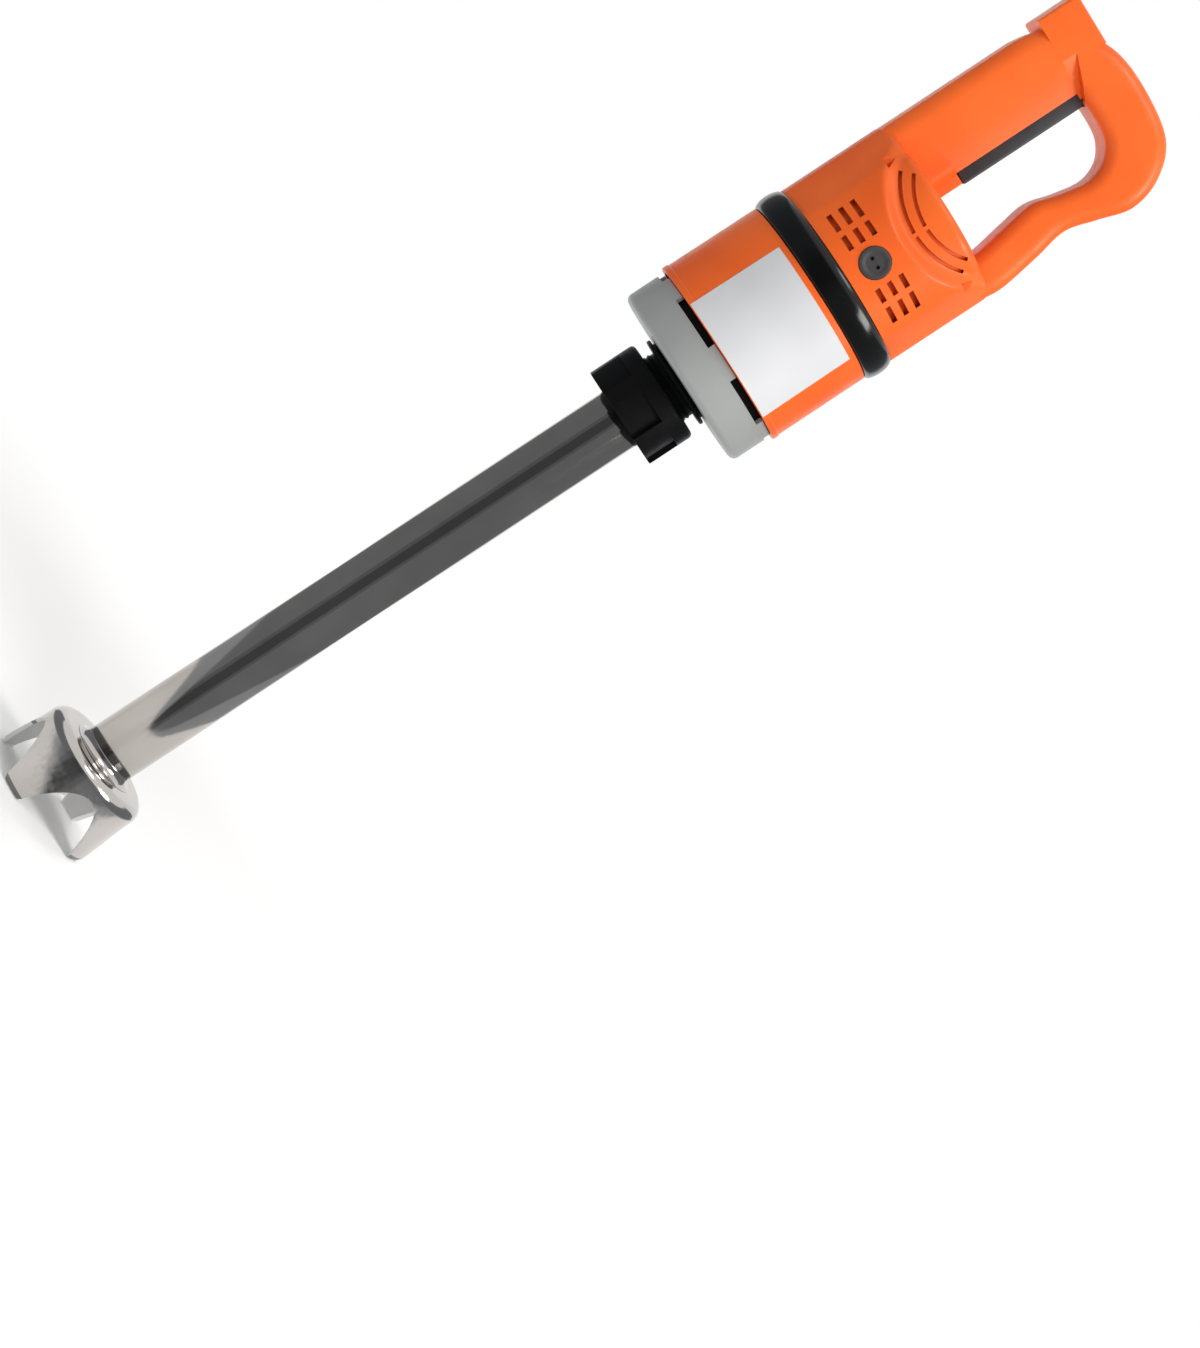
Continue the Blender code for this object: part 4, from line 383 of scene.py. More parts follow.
# %% Rounding an outline
def rounded(corners, radii, steps=4):
    """Rounds each corner of a closed outline. radii is one number, or one for each corner."""
    if not isinstance(radii, (list, tuple)):
        radii = [radii] * len(corners)
    outline = []
    for index, radius in enumerate(radii):
        here = Vector(corners[index])
        back = Vector(corners[index - 1]) - here
        ahead = Vector(corners[(index + 1) % len(corners)]) - here
        half = back.angle(ahead) / 2 if back.length and ahead.length else 0
        if radius <= 0 or half > math.radians(88) or half < math.radians(2):
            outline.append(tuple(here))
            continue
        reach = min(radius / math.tan(half), 0.49 * back.length, 0.49 * ahead.length)
        radius = reach * math.tan(half)
        middle = here + (back.normalized() + ahead.normalized()).normalized() * (radius / math.sin(half))
        start = here + back.normalized() * reach - middle
        end = here + ahead.normalized() * reach - middle
        turn = math.copysign(start.angle(end), start.x * end.y - start.y * end.x)
        for step in range(steps + 1):
            swing = turn * step / steps
            outline.append((middle.x + start.x * math.cos(swing) - start.y * math.sin(swing),
                            middle.y + start.x * math.sin(swing) + start.y * math.cos(swing)))
    return outline


def fill_mesh(mesh, shape):
    """Writes a bmesh into a mesh, with its faces pointing outward."""
    shape.normal_update()
    bmesh.ops.recalc_face_normals(shape, faces=shape.faces)
    shape.to_mesh(mesh)
    shape.free()
    return mesh


def smooth_over(piece, angle=32):
    """Smooths the shading, but keeps edges that are sharper than the angle."""
    piece.data.shade_smooth()
    piece.data.set_sharp_from_angle(angle=math.radians(angle))
    return piece


def place_piece(name, points, faces, finish, body, replaces=(), sharp=32):
    """Makes the mesh, points its faces outward, shades it smoothly and rides it on a body."""
    mesh = bpy.data.meshes.new(name)
    mesh.from_pydata([tuple(point) for point in points], [], faces)
    shape = bmesh.new()
    shape.from_mesh(mesh)
    fill_mesh(mesh, shape).materials.append(finish)
    piece = smooth_over(add_to_scene(name, mesh), sharp)
    if body:
        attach(piece, body)
    if replaces:
        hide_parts(*replaces)
    return piece


def sweep_faces(copies, count, closed=True):
    """The faces from each copy of an outline of count points to the next, and from the last to the first."""
    faces = []
    for step in range(copies):
        low = step * count
        high = ((step + 1) % copies) * count
        for index in range(count if closed else count - 1):
            after = (index + 1) % count
            faces.append((low + index, low + after, high + after, high + index))
    return faces


def spin(outline, steps):
    """Spins a closed outline of (radius, height) about the shaft."""
    points = []
    for step in range(steps):
        for radius, height in outline:
            points.append((*on_circle(radius, math.tau * step / steps), height))
    return points, sweep_faces(steps, len(outline))


print("helpers ready")

# %% Piece tally
visible_pieces = []


def tally(piece):
    visible_pieces.append(piece.name)
    size = [round(1000 * value, 1) for value in piece.dimensions]
    print(piece.name, "mm:", size, "faces:", len(piece.data.polygons))
    return piece


# %% [markdown]
# ## The stainless tube
# A drawn tube with a polished skin. It is a plain spin, but its mouth gets a small radius, because a
# deburred edge is what tells the eye that the wall has a thickness.

# %% Tube
def ends_of(node):
    """The lowest and the highest z of one solid of the engineering model."""
    return [corner.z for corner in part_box(node)]


tube_low, tube_high = ends_of("shaft_tube")
tube_section = [(0.0175, tube_low), (0.019, tube_low), (0.019, tube_high), (0.0175, tube_high)]
points, faces = spin(rounded(tube_section, 0.0004, 2), 96)
tally(place_piece("polished_tube", points, faces, STAINLESS, "shaft_assembly", ["shaft_tube"]))

# %% [markdown]
# ## The blade guard
# The guard is pressed from sheet: a crown, a shoulder and four legs that flare slightly. We spin the bell
# with generous radii and then cut one arch between each two legs. The arch is a closed cutter swept
# outward, and the fast manifold solver cuts it cleanly. The spun wall keeps its shading because we ask
# Blender to smooth only shallow angles.


# %% Cutting tools
def cutter_from(name, outline, low, high, place):
    """A closed prism from a flat outline. place puts the outline's plane where it is needed."""
    shape = bmesh.new()
    bottom = [shape.verts.new((x, y, low)) for x, y in outline]
    top = [shape.verts.new((x, y, high)) for x, y in outline]
    shape.faces.new(bottom[::-1])
    shape.faces.new(top)
    for index in range(len(outline)):
        after = (index + 1) % len(outline)
        shape.faces.new((bottom[index], bottom[after], top[after], top[index]))
    bmesh.ops.triangulate(shape, faces=shape.faces[:])
    mesh = fill_mesh(bpy.data.meshes.new(name), shape)
    mesh.transform(place)
    if place.determinant() < 0:
        mesh.flip_normals()
    return bpy.data.objects.new(name, mesh)


def carve(piece, cutters, operation="DIFFERENCE", solver="MANIFOLD"):
    """Applies Booleans at once and takes the cutters away again."""
    for cutter in cutters:
        if cutter.name not in scene.collection.objects:
            scene.collection.objects.link(cutter)
        step = piece.modifiers.new(cutter.name, "BOOLEAN")
        step.operation = operation
        step.solver = solver
        step.object = cutter
    bpy.context.view_layer.update()
    graph = bpy.context.evaluated_depsgraph_get()
    shaped = bpy.data.meshes.new_from_object(piece.evaluated_get(graph))
    piece.modifiers.clear()
    old = piece.data
    piece.data = shaped
    bpy.data.meshes.remove(old)
    for cutter in cutters:
        bpy.data.objects.remove(cutter)
    return piece


FRONT_PLANE = Matrix.Rotation(math.radians(90), 4, "X")

# %% Guard
leg_azimuth = math.radians(-116.3)
bell = [(0.0083, 0.028), (0.0115, 0.028), (0.0115, 0.0438), (0.0388, 0.0438), (0.0392, 0.031), (0.0416, 0.0),
        (0.0427, 0.0), (0.0438, 0.003), (0.0414, 0.031), (0.0410, 0.046), (0.0172, 0.046), (0.0172, 0.054),
        (0.0076, 0.054), (0.0076, 0.0343), (0.0086, 0.0343)]
bell_radii = [0.0004, 0.001, 0.002, 0.0125, 0.03, 0.0003, 0.0004, 0.0004, 0.03, 0.0145, 0.0006, 0.0005,
              0.0004, 0, 0]
points, faces = spin(rounded(bell, bell_radii, 8), 160)
guard = place_piece("pressed_guard", points, faces, GUARD_STEEL, "shaft_assembly", ["blade_guard"])
arch_high = 0.034
arch_half = 0.0244
arch_side = []
for step in range(19):
    height = arch_high * math.sin(math.radians(90) * step / 18)
    arch_side.append((arch_half * math.sqrt(max(0, 1 - (height / arch_high) ** 1.2)), height))
arch_rest = [(-x, height) for x, height in arch_side[-2::-1]]
arch = [(0.0250, -0.003)] + arch_side + arch_rest + [(-0.0250, -0.003)]
notches = []
for leg in range(4):
    turn = leg_azimuth + math.tau * (leg + 0.5) / 4 + math.radians(90)
    place = Matrix.Rotation(turn, 4, "Z") @ FRONT_PLANE
    notches.append(cutter_from(f"leg_arch_{leg}", arch, 0.021, 0.06, place))
smooth_over(carve(guard, notches), 40)
# The inside and the undersides of the bell get the darker steel, which is painted shade.
guard.data.materials.append(SATIN_SHADED_STEEL)
# The leg tips get a darker steel still: painted shade on a ground edge.
guard.data.materials.append(GROUND_SHADED_STEEL)
# Faces that point into the bell or down under the crown take the darker steel as painted shade; faces at the
# leg tips take the darkest steel, also painted shade.
for face in guard.data.polygons:
    outward = Vector((face.center.x, face.center.y, 0)).normalized()
    if face.normal.dot(outward) < -0.3 or (face.normal.z < -0.6 and face.center.z > 0.01):
        face.material_index = 1
    elif face.center.z < 0.0031:
        face.material_index = 2
tally(guard)

# %% [markdown]
# Where the tube meets the crown there is a weld, ground to a hollow curve. It is a thin ring that fills
# the corner. Its outline is a quarter circle that bends inward, so it gathers a small picture of the room.

# %% Weld
bead = [(0.0190, 0.0461), (0.0190, 0.0518)]
for step in range(9):
    angle = math.radians(180 + 90 * step / 8)
    bead.append((0.0245 + 0.0053 * math.cos(angle), 0.0515 + 0.0053 * math.sin(angle)))
points, faces = spin(bead + [(0.0245, 0.0461)], 96)
tally(place_piece("weld_bead", points, faces, GUARD_STEEL, "shaft_assembly"))

# %% [markdown]
# ## The coupling nut
# The nut is moulded with finger recesses that are open towards the tube. Each recess has one steep side to
# push against and a slope that fades out, like a ratchet. We spin the body with rounded edges, and cut
# each recess with its own prism.

# %% Nut
nut_low, nut_high = ends_of("coupling_nut")
nut_radius = 0.0324
nut_floor = nut_low + 0.005
nut_section = [(0.0198, nut_low), (nut_radius, nut_low), (nut_radius, nut_high), (0.0228, nut_high),
               (0.0228, nut_floor), (0.0198, nut_floor)]
points, faces = spin(rounded(nut_section, [0.0005, 0.0008, 0.0028, 0.0006, 0.0003, 0.0003], 5), 144)
nut = place_piece("moulded_nut", points, faces, BLACK, "nut", ["coupling_nut"])
recess_span = math.radians(42)
recesses = []
for index in range(6):
    turn = math.radians(-68) + math.tau * index / 6
    slope = []
    for step in range(7):
        share = step / 6
        slope.append(on_circle(nut_radius - 0.0034 * (1 - share ** 1.4), -recess_span * share))
    outline = slope + [on_circle(0.04, -recess_span), (0.043, -0.012), (0.043, 0)]
    place = Matrix.Rotation(turn, 4, "Z")
    recesses.append(cutter_from(f"recess_{index}", outline, nut_low - 0.002, nut_low + 0.020, place))
tally(smooth_over(carve(nut, recesses), 30))

# %% [markdown]
# ## The neck with its thread
# Between the nut and the cover shows a stretch of coarse moulded thread, a thin flange and the start of the
# neck. The thread's crests are spun rings here, close enough together that the eye
# reads a thread.

# %% Neck
neck_low, neck_high = ends_of("coupling_neck")
root = 0.0215
peak = 0.0223
thread_pitch = 0.0028
thread_end = 0.4515
flange = 0.0294
neck_section = [(0.0193, neck_low), (root, neck_low)]
neck_radii = [0.0003, 0.0004]
crest = neck_low + 0.0012
while crest < thread_end:
    neck_section += [(root, crest), (peak, crest + 0.0007), (peak, crest + 0.0013), (root, crest + 0.002)]
    neck_radii += [0.0002, 0.0003, 0.0003, 0.0002]
    crest += thread_pitch
neck_section += [(root, 0.454), (flange, 0.454), (flange, 0.4565), (0.026, 0.4565), (0.026, neck_high),
                 (0.0143, neck_high), (0.0143, 0.4577), (0.0126, 0.4577), (0.0126, neck_low + 0.006),
                 (0.0193, neck_low + 0.006)]
neck_radii += [0.0004, 0.0008, 0.0008, 0.0005, 0.0005, 0.0003, 0.0003, 0.0003, 0.0003, 0.0003]
points, faces = spin(rounded(neck_section, neck_radii, 3), 112)
tally(place_piece("threaded_neck", points, faces, BLACK, "motor_head", ["coupling_neck"]))

# %% [markdown]
# ## The grey front cover
# A shallow moulded cap. Air leaves through six slots at its rear edge into the motor. They look black because
# a black ring stands right behind them as painted shade. The slots are sectors of a ring, cut from a spun cap.


# %% Front cover
def ring_sector(inner, outer, middle, half_angle, steps=16):
    turns = [middle + half_angle * (2 * step / steps - 1) for step in range(steps + 1)]
    return [on_circle(outer, turn) for turn in turns] + [on_circle(inner, turn) for turn in reversed(turns)]


def round_outline(radius, count=40):
    return [on_circle(radius, math.tau * step / count) for step in range(count)]


cover_low, cover_high = ends_of("front_cover")
cover_section = [(0.0263, cover_low), (0.058, cover_low), (0.058, cover_high), (0.055, cover_high),
                 (0.055, cover_low + 0.003), (0.0293, cover_low + 0.003), (0.0293, cover_low + 0.010),
                 (0.0263, cover_low + 0.010)]
cover_radii = [0.0008, 0.0042, 0.0005, 0.0004, 0.002, 0.001, 0.0005, 0.0005]
points, faces = spin(rounded(cover_section, cover_radii, 6), 192)
cover = place_piece("grey_cover", points, faces, GREY, "motor_head", ["front_cover"])
slots = []
for index in range(6):
    outline = ring_sector(0.050, 0.062, math.tau * index / 6, math.radians(18.5))
    slots.append(cutter_from(f"air_slot_{index}", outline, cover_high - 0.0045, cover_high + 0.004, Matrix()))
for bolt in range(1, 5):
    low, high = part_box(f"motor_bolt_{bolt}")
    middle = (low + high) / 2
    place = Matrix.Translation((middle.x, middle.y, 0))
    well = round_outline(0.0041, 24)
    slots.append(cutter_from(f"bolt_well_{bolt}", well, cover_low - 0.002, cover_low + 0.006, place))
tally(smooth_over(carve(cover, slots), 32))

# %% [markdown]
# ## The motor barrel
# The barrel is a little wider at its front, where it has a low step, and narrows towards the ring. The
# same spin makes it, with the hidden spigot that carries the ring and the handle.

# %% Barrel
barrel_low, barrel_high = ends_of("motor_barrel")
barrel_length = 0.0655
barrel_end = barrel_low + barrel_length
barrel_front = 0.0607
barrel_rear = 0.0598
spigot = 0.0542
barrel_bore = 0.0570
barrel_section = [(barrel_bore, barrel_low), (barrel_front, barrel_low), (barrel_front, barrel_low + 0.0038),
                  (0.0601, barrel_low + 0.0042), (barrel_rear, barrel_end), (spigot, barrel_end),
                  (spigot, barrel_high), (0.0517, barrel_high), (0.0517, barrel_end - 0.001),
                  (barrel_bore, 0.543)]
barrel_radii = [0.0003, 0.0006, 0.0005, 0.0005, 0.0006, 0.0003, 0.0006, 0.0004, 0.001, 0.001]
points, faces = spin(rounded(barrel_section, barrel_radii, 4), 192)
tally(place_piece("orange_barrel", points, faces, ORANGE, "motor_head", ["motor_barrel"]))

# %% [markdown]
# ## The bare plate
# The barrel carries a white self-adhesive plate. It stays bare here. It is a thin curved sheet with
# a slight thickness, wrapped on the barrel so that it stands a third of a millimetre proud.

# %% Plate
plate_start = math.radians(-128)
plate_turn = math.radians(80)
plate_low = barrel_low + 0.0006
plate_high = barrel_end - 0.0040
plate_points = []
plate_faces = []
across = 48
along = 10
for layer, lift in enumerate((0.00002, 0.00034)):
    for row in range(along + 1):
        height = plate_low + (plate_high - plate_low) * row / along
        for column in range(across + 1):
            angle = plate_start + plate_turn * column / across
            share = (height - barrel_low) / barrel_length
            reach = barrel_front + (barrel_rear - barrel_front) * share + lift
            plate_points.append((*on_circle(reach, angle), height))
width = across + 1
layer_size = width * (along + 1)
for row in range(along):
    for column in range(across):
        corner = row * width + column
        quad = (corner, corner + 1, corner + 1 + width, corner + width)
        plate_faces.append(quad[::-1])
        plate_faces.append(tuple(index + layer_size for index in quad))
rim = [*range(across)] + [row * width + across for row in range(along)]
rim += [along * width + across - column for column in range(across)]
rim += [(along - row) * width for row in range(along)]
for index, start in enumerate(rim):
    end = rim[(index + 1) % len(rim)]
    plate_faces.append((start, end, end + layer_size, start + layer_size))
plate = place_piece("bare_plate", plate_points, plate_faces, PLATE_WHITE, "motor_head")
tally(plate)

# %% [markdown]
# ## The bumper ring
# A glossy black ring covers the joint between barrel and handle. Its crown is a full round, so a row of
# points on a curve close to an ellipse makes the outline.

# %% Ring
ring_low, ring_high = ends_of("bumper_ring")
ring_middle = (ring_low + ring_high) / 2
ring_half = (ring_high - ring_low) / 2
ring_flank = 0.0588
ring_swell = 0.0039
crown = []
for step in range(25):
    angle = math.radians(-90 + 180 * step / 24)
    reach = ring_flank + ring_swell * max(0, math.cos(angle)) ** 0.9
    crown.append((reach, ring_middle + ring_half * math.sin(angle)))
ring_outline = [(0.0545, ring_low)] + crown + [(0.0545, ring_high)]
points, faces = spin(ring_outline, 192)
tally(place_piece("gloss_ring", points, faces, GLOSS_BLACK, "motor_head", ["bumper_ring"], 50))

# %% [markdown]
# ## The handle
# The handle is the piece that takes the most skill. Two moulded halves meet on the middle plane. The round
# casing has two soft creases along each side panel and a shallow inset under the loop with an arc-shaped
# ramp. We spin the casing on a fine grid and move its surface by a formula, which gives soft moulded
# transitions that no cutter could.

# %% Casing surface
casing_front = 0.5698
casing_rear = 0.6413
casing_radius = 0.060
inset_height = casing_rear + 0.0253
flank_half = math.radians(17.5)
flank_middle = math.acos(0.042 / casing_radius) - flank_half
flank_blend = 0.00035


def ease(value):
    value = min(max(value, 0.0), 1.0)
    return value * value * (3 - 2 * value)


def casing_reach(angle, height):
    """Radius of the casing: round, planed flat along the flanks, and sunk inside the inset's arc."""
    planed = casing_radius
    for middle in (flank_middle, math.pi - flank_middle, math.pi + flank_middle, -flank_middle):
        away = (angle - middle + math.pi) % math.tau - math.pi
        if abs(away) < math.radians(60):
            plane = casing_radius * math.cos(flank_half) / math.cos(away)
            planed = 0.5 * (plane + planed - math.hypot(plane - planed, flank_blend))
    distance = math.hypot(casing_radius * math.cos(angle), height - inset_height)
    return planed - 0.006 * (1 - ease((distance - 0.0525) / 0.0085))


# %% Casing mesh
def casing_solid(name, wall, rear_corner, steps, rows):
    """The casing as a closed solid, shrunk by a wall thickness when it is the space inside."""
    side = casing_radius - wall
    rear = casing_rear - wall
    front = casing_front if wall == 0 else casing_front - 0.012
    outline = [(side, front + (rear - rear_corner - front) * row / rows) for row in range(rows + 1)]
    for step in range(1, 9):
        angle = math.radians(90) * step / 8
        inward = rear_corner * (1 - math.cos(angle))
        outline.append((side - inward, rear - rear_corner + rear_corner * math.sin(angle)))
    outline += [(share * (side - rear_corner), rear) for share in (0.8, 0.6, 0.4, 0.2)]
    points = []
    for step in range(steps):
        angle = math.tau * (step + 0.5) / steps
        for radius, height in outline:
            reach = casing_reach(angle, height) * radius / casing_radius
            points.append((*on_circle(reach, angle), height))
    count = len(outline)
    faces = [(a, d, c, b) for a, b, c, d in sweep_faces(steps, count, False)]
    faces.append([step * count for step in range(steps)][::-1])
    faces.append([step * count + count - 1 for step in range(steps)])
    return place_piece(name, points, faces, ORANGE, None)


casing = casing_solid("casing", 0, 0.005, 240, 70)
print("casing faces:", len(casing.data.polygons))


# %% [markdown]
# The D-shaped grip is a slab with a hole. Its rims are rounded by lofting copies of the outline, each
# moved inward a little and raised a little, like contour lines on a hill. The outer rim is rounded wider
# than it is deep. The outline itself is a smooth curve through a few measured points.

# %% Handle outline
def smooth_run(controls, steps):
    """A Catmull-Rom curve through the control points."""
    ends = [controls[0]] + list(controls) + [controls[-1]]
    run = []
    for a, b, c, d in zip(ends, ends[1:], ends[2:], ends[3:]):
        for step in range(steps):
            t = step / steps
            weights = (-0.5 * t + t * t - 0.5 * t ** 3, 1 - 2.5 * t * t + 1.5 * t ** 3,
                       0.5 * t + 2 * t * t - 1.5 * t ** 3, -0.5 * t * t + 0.5 * t ** 3)
            run.append(tuple(sum(w * p[k] for w, p in zip(weights, (a, b, c, d))) for k in (0, 1)))
    return run + [tuple(controls[-1])]


def moved_inward(loop, distance):
    moved = []
    for index in range(len(loop)):
        before, here, after = (Vector(loop[k % len(loop)]) for k in (index - 1, index, index + 1))
        first = (here - before).normalized()
        second = (after - here).normalized()
        inward = (Vector((-first.y, first.x)) + Vector((-second.y, second.x))).normalized()
        reach = distance / max(inward.dot(Vector((-first.y, first.x))), 0.5)
        moved.append(tuple(here + inward * reach))
    return moved


rear = casing_rear


def from_rear(*points):
    """Points whose heights are given from the casing's rear face."""
    return [(x, rear + height) for x, height in points]


bow_outside = from_rear((0.0585, -0.004), (0.0591, 0.009), (0.05505, 0.0352), (0.0513, 0.0568),
                        (0.0567, 0.0778), (0.0621, 0.0988), (0.0559, 0.1201), (0.0385, 0.1366),
                        (0.0069, 0.1413), (-0.0219, 0.1381), (-0.0430, 0.1248), (-0.0556, 0.1068),
                        (-0.0591, 0.0906))
grip_foot = from_rear((-0.0591, -0.002), (-0.054, -0.010), (-0.054, -0.0356))
handle_outside = from_rear((0.054, -0.0356)) + smooth_run(bow_outside, 8) + grip_foot
bow_inside = from_rear((0.0339, -0.005), (0.0329, 0.009), (0.02955, 0.0284), (0.0268, 0.0483),
                       (0.03095, 0.0652), (0.0339, 0.0840), (0.0295, 0.0969), (0.0200, 0.1044),
                       (0.0098, 0.1065), (-0.0020, 0.1065))
grip_side = from_rear((-0.0129, 0.1059), (-0.0129, -0.016))
loop_inside = from_rear((0.0339, -0.016)) + smooth_run(bow_inside, 7) + grip_side
print("outline points:", len(handle_outside), len(loop_inside))


# %% Rounded slab
def rounded_slab(name, outside, inside, half_width, outer_round, inner_round, steps):
    shape = bmesh.new()
    rings = {}
    for key, loop, radius, depth, sign in (("outside", outside, outer_round, 0.8 * outer_round, 1),
                                           ("inside", inside, inner_round, inner_round, -1)):
        stack = []
        for step in range(steps + 1):
            angle = math.radians(90) * step / steps
            moved = moved_inward(loop, sign * radius * (1 - math.cos(angle)))
            stack.append([(x, y, half_width - depth + depth * math.sin(angle)) for x, y in moved])
        stack = [[(x, y, -z) for x, y, z in ring] for ring in reversed(stack)] + stack
        rings[key] = [[shape.verts.new(point) for point in ring] for ring in stack]
        for low, high in zip(rings[key], rings[key][1:]):
            for index in range(len(low)):
                after = (index + 1) % len(low)
                shape.faces.new((low[index], low[after], high[after], high[index]))
    for end in (0, -1):
        rim = []
        for key in rings:
            ring = rings[key][end]
            rim += [shape.edges.get((a, b)) for a, b in zip(ring, ring[1:] + ring[:1])]
        bmesh.ops.triangle_fill(shape, edges=rim, use_beauty=True)
    mesh = fill_mesh(bpy.data.meshes.new(name), shape)
    mesh.transform(FRONT_PLANE)
    return bpy.data.objects.new(name, mesh)


slab = rounded_slab("slab", handle_outside, loop_inside, 0.0195, 0.010, 0.008, 9)
print("slab faces:", len(slab.data.polygons))

# %% [markdown]
# A few straight-sided forms complete the handle: the square lug at the end of the grip, the ledge in front
# of the trigger, and the slanted flat on each side of the grip that leads down to the trigger bar.


# %% Lug, ledge and slanted flats
def soft_box(name, low, high, radius=0, steps=3, sides=None):
    """A box, sharp or rounded at all edges, or only at those on the sides given by (axis, place)."""
    def touches(edge, axis, place):
        return all(abs(vert.co[axis] - place) < 1e-6 for vert in edge.verts)

    shape = bmesh.new()
    bmesh.ops.create_cube(shape, size=1)
    size = [b - a for a, b in zip(low, high)]
    bmesh.ops.scale(shape, vec=size, verts=shape.verts)
    bmesh.ops.translate(shape, vec=[(a + b) / 2 for a, b in zip(low, high)], verts=shape.verts)
    chosen = [edge for edge in shape.edges if not sides or any(touches(edge, *side) for side in sides)]
    if radius:
        bmesh.ops.bevel(shape, geom=chosen, offset=radius, segments=steps, affect="EDGES", profile=0.5)
    return bpy.data.objects.new(name, fill_mesh(bpy.data.meshes.new(name), shape))


def slanted_flat(name, side, inward):
    """The wedge cut from one side of the grip. inward moves it into the grip, for the space inside."""
    fall = 0.0085 / 0.0211
    low_end = rear + 0.0208
    high_end = low_end + 0.0882
    slide = inward * math.sqrt(1 + fall * fall)
    corners = []
    for x in (-0.034, -0.0069):
        reach = -0.0129 - x
        depth = 0.0195 - fall * (x + 0.034) - slide
        low = low_end - 0.26 * reach - inward
        high = high_end + 0.36 * reach + inward
        for y in (depth, 0.03):
            corners += [(x, side * y, low), (x, side * y, high)]
    order = [(0, 1, 3, 2), (4, 6, 7, 5), (0, 4, 5, 1), (2, 3, 7, 6), (0, 2, 6, 4), (1, 5, 7, 3)]
    return place_piece(name, corners, order, ORANGE, None)


lug_side = -0.0621
lug_end = rear + 0.1348
lug = soft_box("lug", (lug_side, -0.01953, rear + 0.1066), (-0.0290, 0.01953, lug_end), 0.0016, 4,
               ((0, lug_side), (2, lug_end)))
ledge = soft_box("ledge", (-0.0169, -0.013, rear - 0.008), (-0.0059, 0.013, rear + 0.0203), 0.0008)
handle = carve(casing, [slab, lug, ledge], "UNION")
carve(handle, [slanted_flat("flat_left", -1, 0), slanted_flat("flat_right", 1, 0)])
print("handle faces:", len(handle.data.polygons))

# %% [markdown]
# Now the openings: twelve short vents on each side, two broken arcs, the hole of the brush cap, the slot of
# the trigger and the hole for the inlet. Each one is a prism, and those in the sides reach through both
# halves.


# %% Openings
def on_front(x, height):
    """Stands an outline up on the tool's middle plane, with its origin at x and height."""
    return Matrix.Translation((x, 0, height)) @ FRONT_PLANE


through = 0.07
openings = []
for column in range(3):
    low = casing_front + 0.0095 + 0.008 * column
    for near, far in ((0.0135, 0.0225), (0.026, 0.0365)):
        for left, right in ((near, far), (-far, -near)):
            openings.append(soft_box("vent", (left, -through, low), (right, through, low + 0.0034)))
for radius in (0.0499, 0.0424):
    gap = 0.0013 / radius
    half = (math.radians(44) - gap) / 2
    for middle in (-math.pi / 2 + gap + half, -math.pi / 2 - gap - half):
        outline = ring_sector(radius - 0.00115, radius + 0.00115, middle, half, 20)
        openings.append(cutter_from("arc_vent", outline, -through, through, on_front(0, inset_height)))
brush_height = casing_front + 0.0182
openings.append(cutter_from("cap_hole", round_outline(0.0099), -through, through, on_front(0, brush_height)))
openings.append(cutter_from("inlet_hole", round_outline(0.0073), rear + 0.12, rear + 0.15,
                            Matrix.Translation((-0.04555, 0, 0))))
openings.append(soft_box("trigger_slot", (-0.028, -0.0094, rear + 0.0203), (-0.0037, 0.0094, rear + 0.1099)))
carve(handle, openings)
print("after openings:", len(handle.data.polygons))

# %% Hollow inside
shell_wall = 0.0027
space = casing_solid("space", shell_wall, 0.0035, 120, 30)
slab_space = rounded_slab("slab_space", moved_inward(handle_outside, shell_wall),
                          moved_inward(loop_inside, -shell_wall), 0.0168, 0.0073, 0.0053, 3)
lug_space = soft_box("lug_space", (-0.0594, -0.0173, rear + 0.1093), (-0.0317, 0.0173, rear + 0.1321))
carve(space, [slab_space, lug_space], "UNION")
carve(space, [slanted_flat("wall_left", -1, shell_wall), slanted_flat("wall_right", 1, shell_wall)])
screw_places = ((-0.019, -0.049), (-0.019, 0.049), (0.123, -0.036), (0.101, 0.0465), (0.049, 0.0395))
cores = []
for side in (-1, 1):
    low, high = sorted((side * 0.046, side * 0.08))
    cores.append(cutter_from("cap_boss", round_outline(0.0124), low, high, on_front(0, brush_height)))
for height, x in screw_places:
    cores.append(cutter_from("screw_boss", round_outline(0.005, 20), -0.08, 0.08, on_front(x, rear + height)))
pocket_low = casing_front + 0.0545
for end in (-1, 1):
    for side in (-1, 1):
        low, high = sorted((side * 0.0325, side * 0.07))
        left, right = sorted((end * 0.0378, end * 0.0488))
        cores.append(soft_box("pocket_floor", (left, low, pocket_low), (right, high, pocket_low + 0.014)))
carve(space, cores)
carve(handle, [space])
print("hollow handle:", len(handle.data.polygons))

# %% [markdown]
# The finished form is cut into its two halves with a hair of a gap between them, which shows as the
# parting line. The right half has the wells of the five screws, and both have the small three-cornered
# pockets.

# %% Two halves
for side, label in ((-1, "left"), (1, "right")):
    shell = add_to_scene(f"moulded_half_{label}", handle.data.copy())
    low, high = sorted((side * 0.00012, side * 0.3))
    carve(shell, [soft_box("half", (-0.3, low, 0.3), (0.3, high, 1.0))], "INTERSECT")
    details = []
    for end in (-1, 1):
        pocket = [(end * 0.0396, 0), (end * 0.0471, 0), (end * 0.04335, 0.011)]
        low, high = sorted((-side * 0.0357, -side * 0.07))
        details.append(cutter_from("pocket", pocket, low, high, on_front(0, casing_front + 0.056)))
    if side > 0:
        for height, x in screw_places:
            place = on_front(x, rear + height)
            details.append(cutter_from("well", round_outline(0.0035, 28), -through, -0.0092, place))
            details.append(cutter_from("pilot", round_outline(0.0019, 20), -0.0095, 0.002, place))
    carve(shell, details)
    smooth_over(shell, 28)
    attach(shell, "motor_head")
    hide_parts(f"handle_shell_{label}")
    tally(shell)
bpy.data.objects.remove(handle)
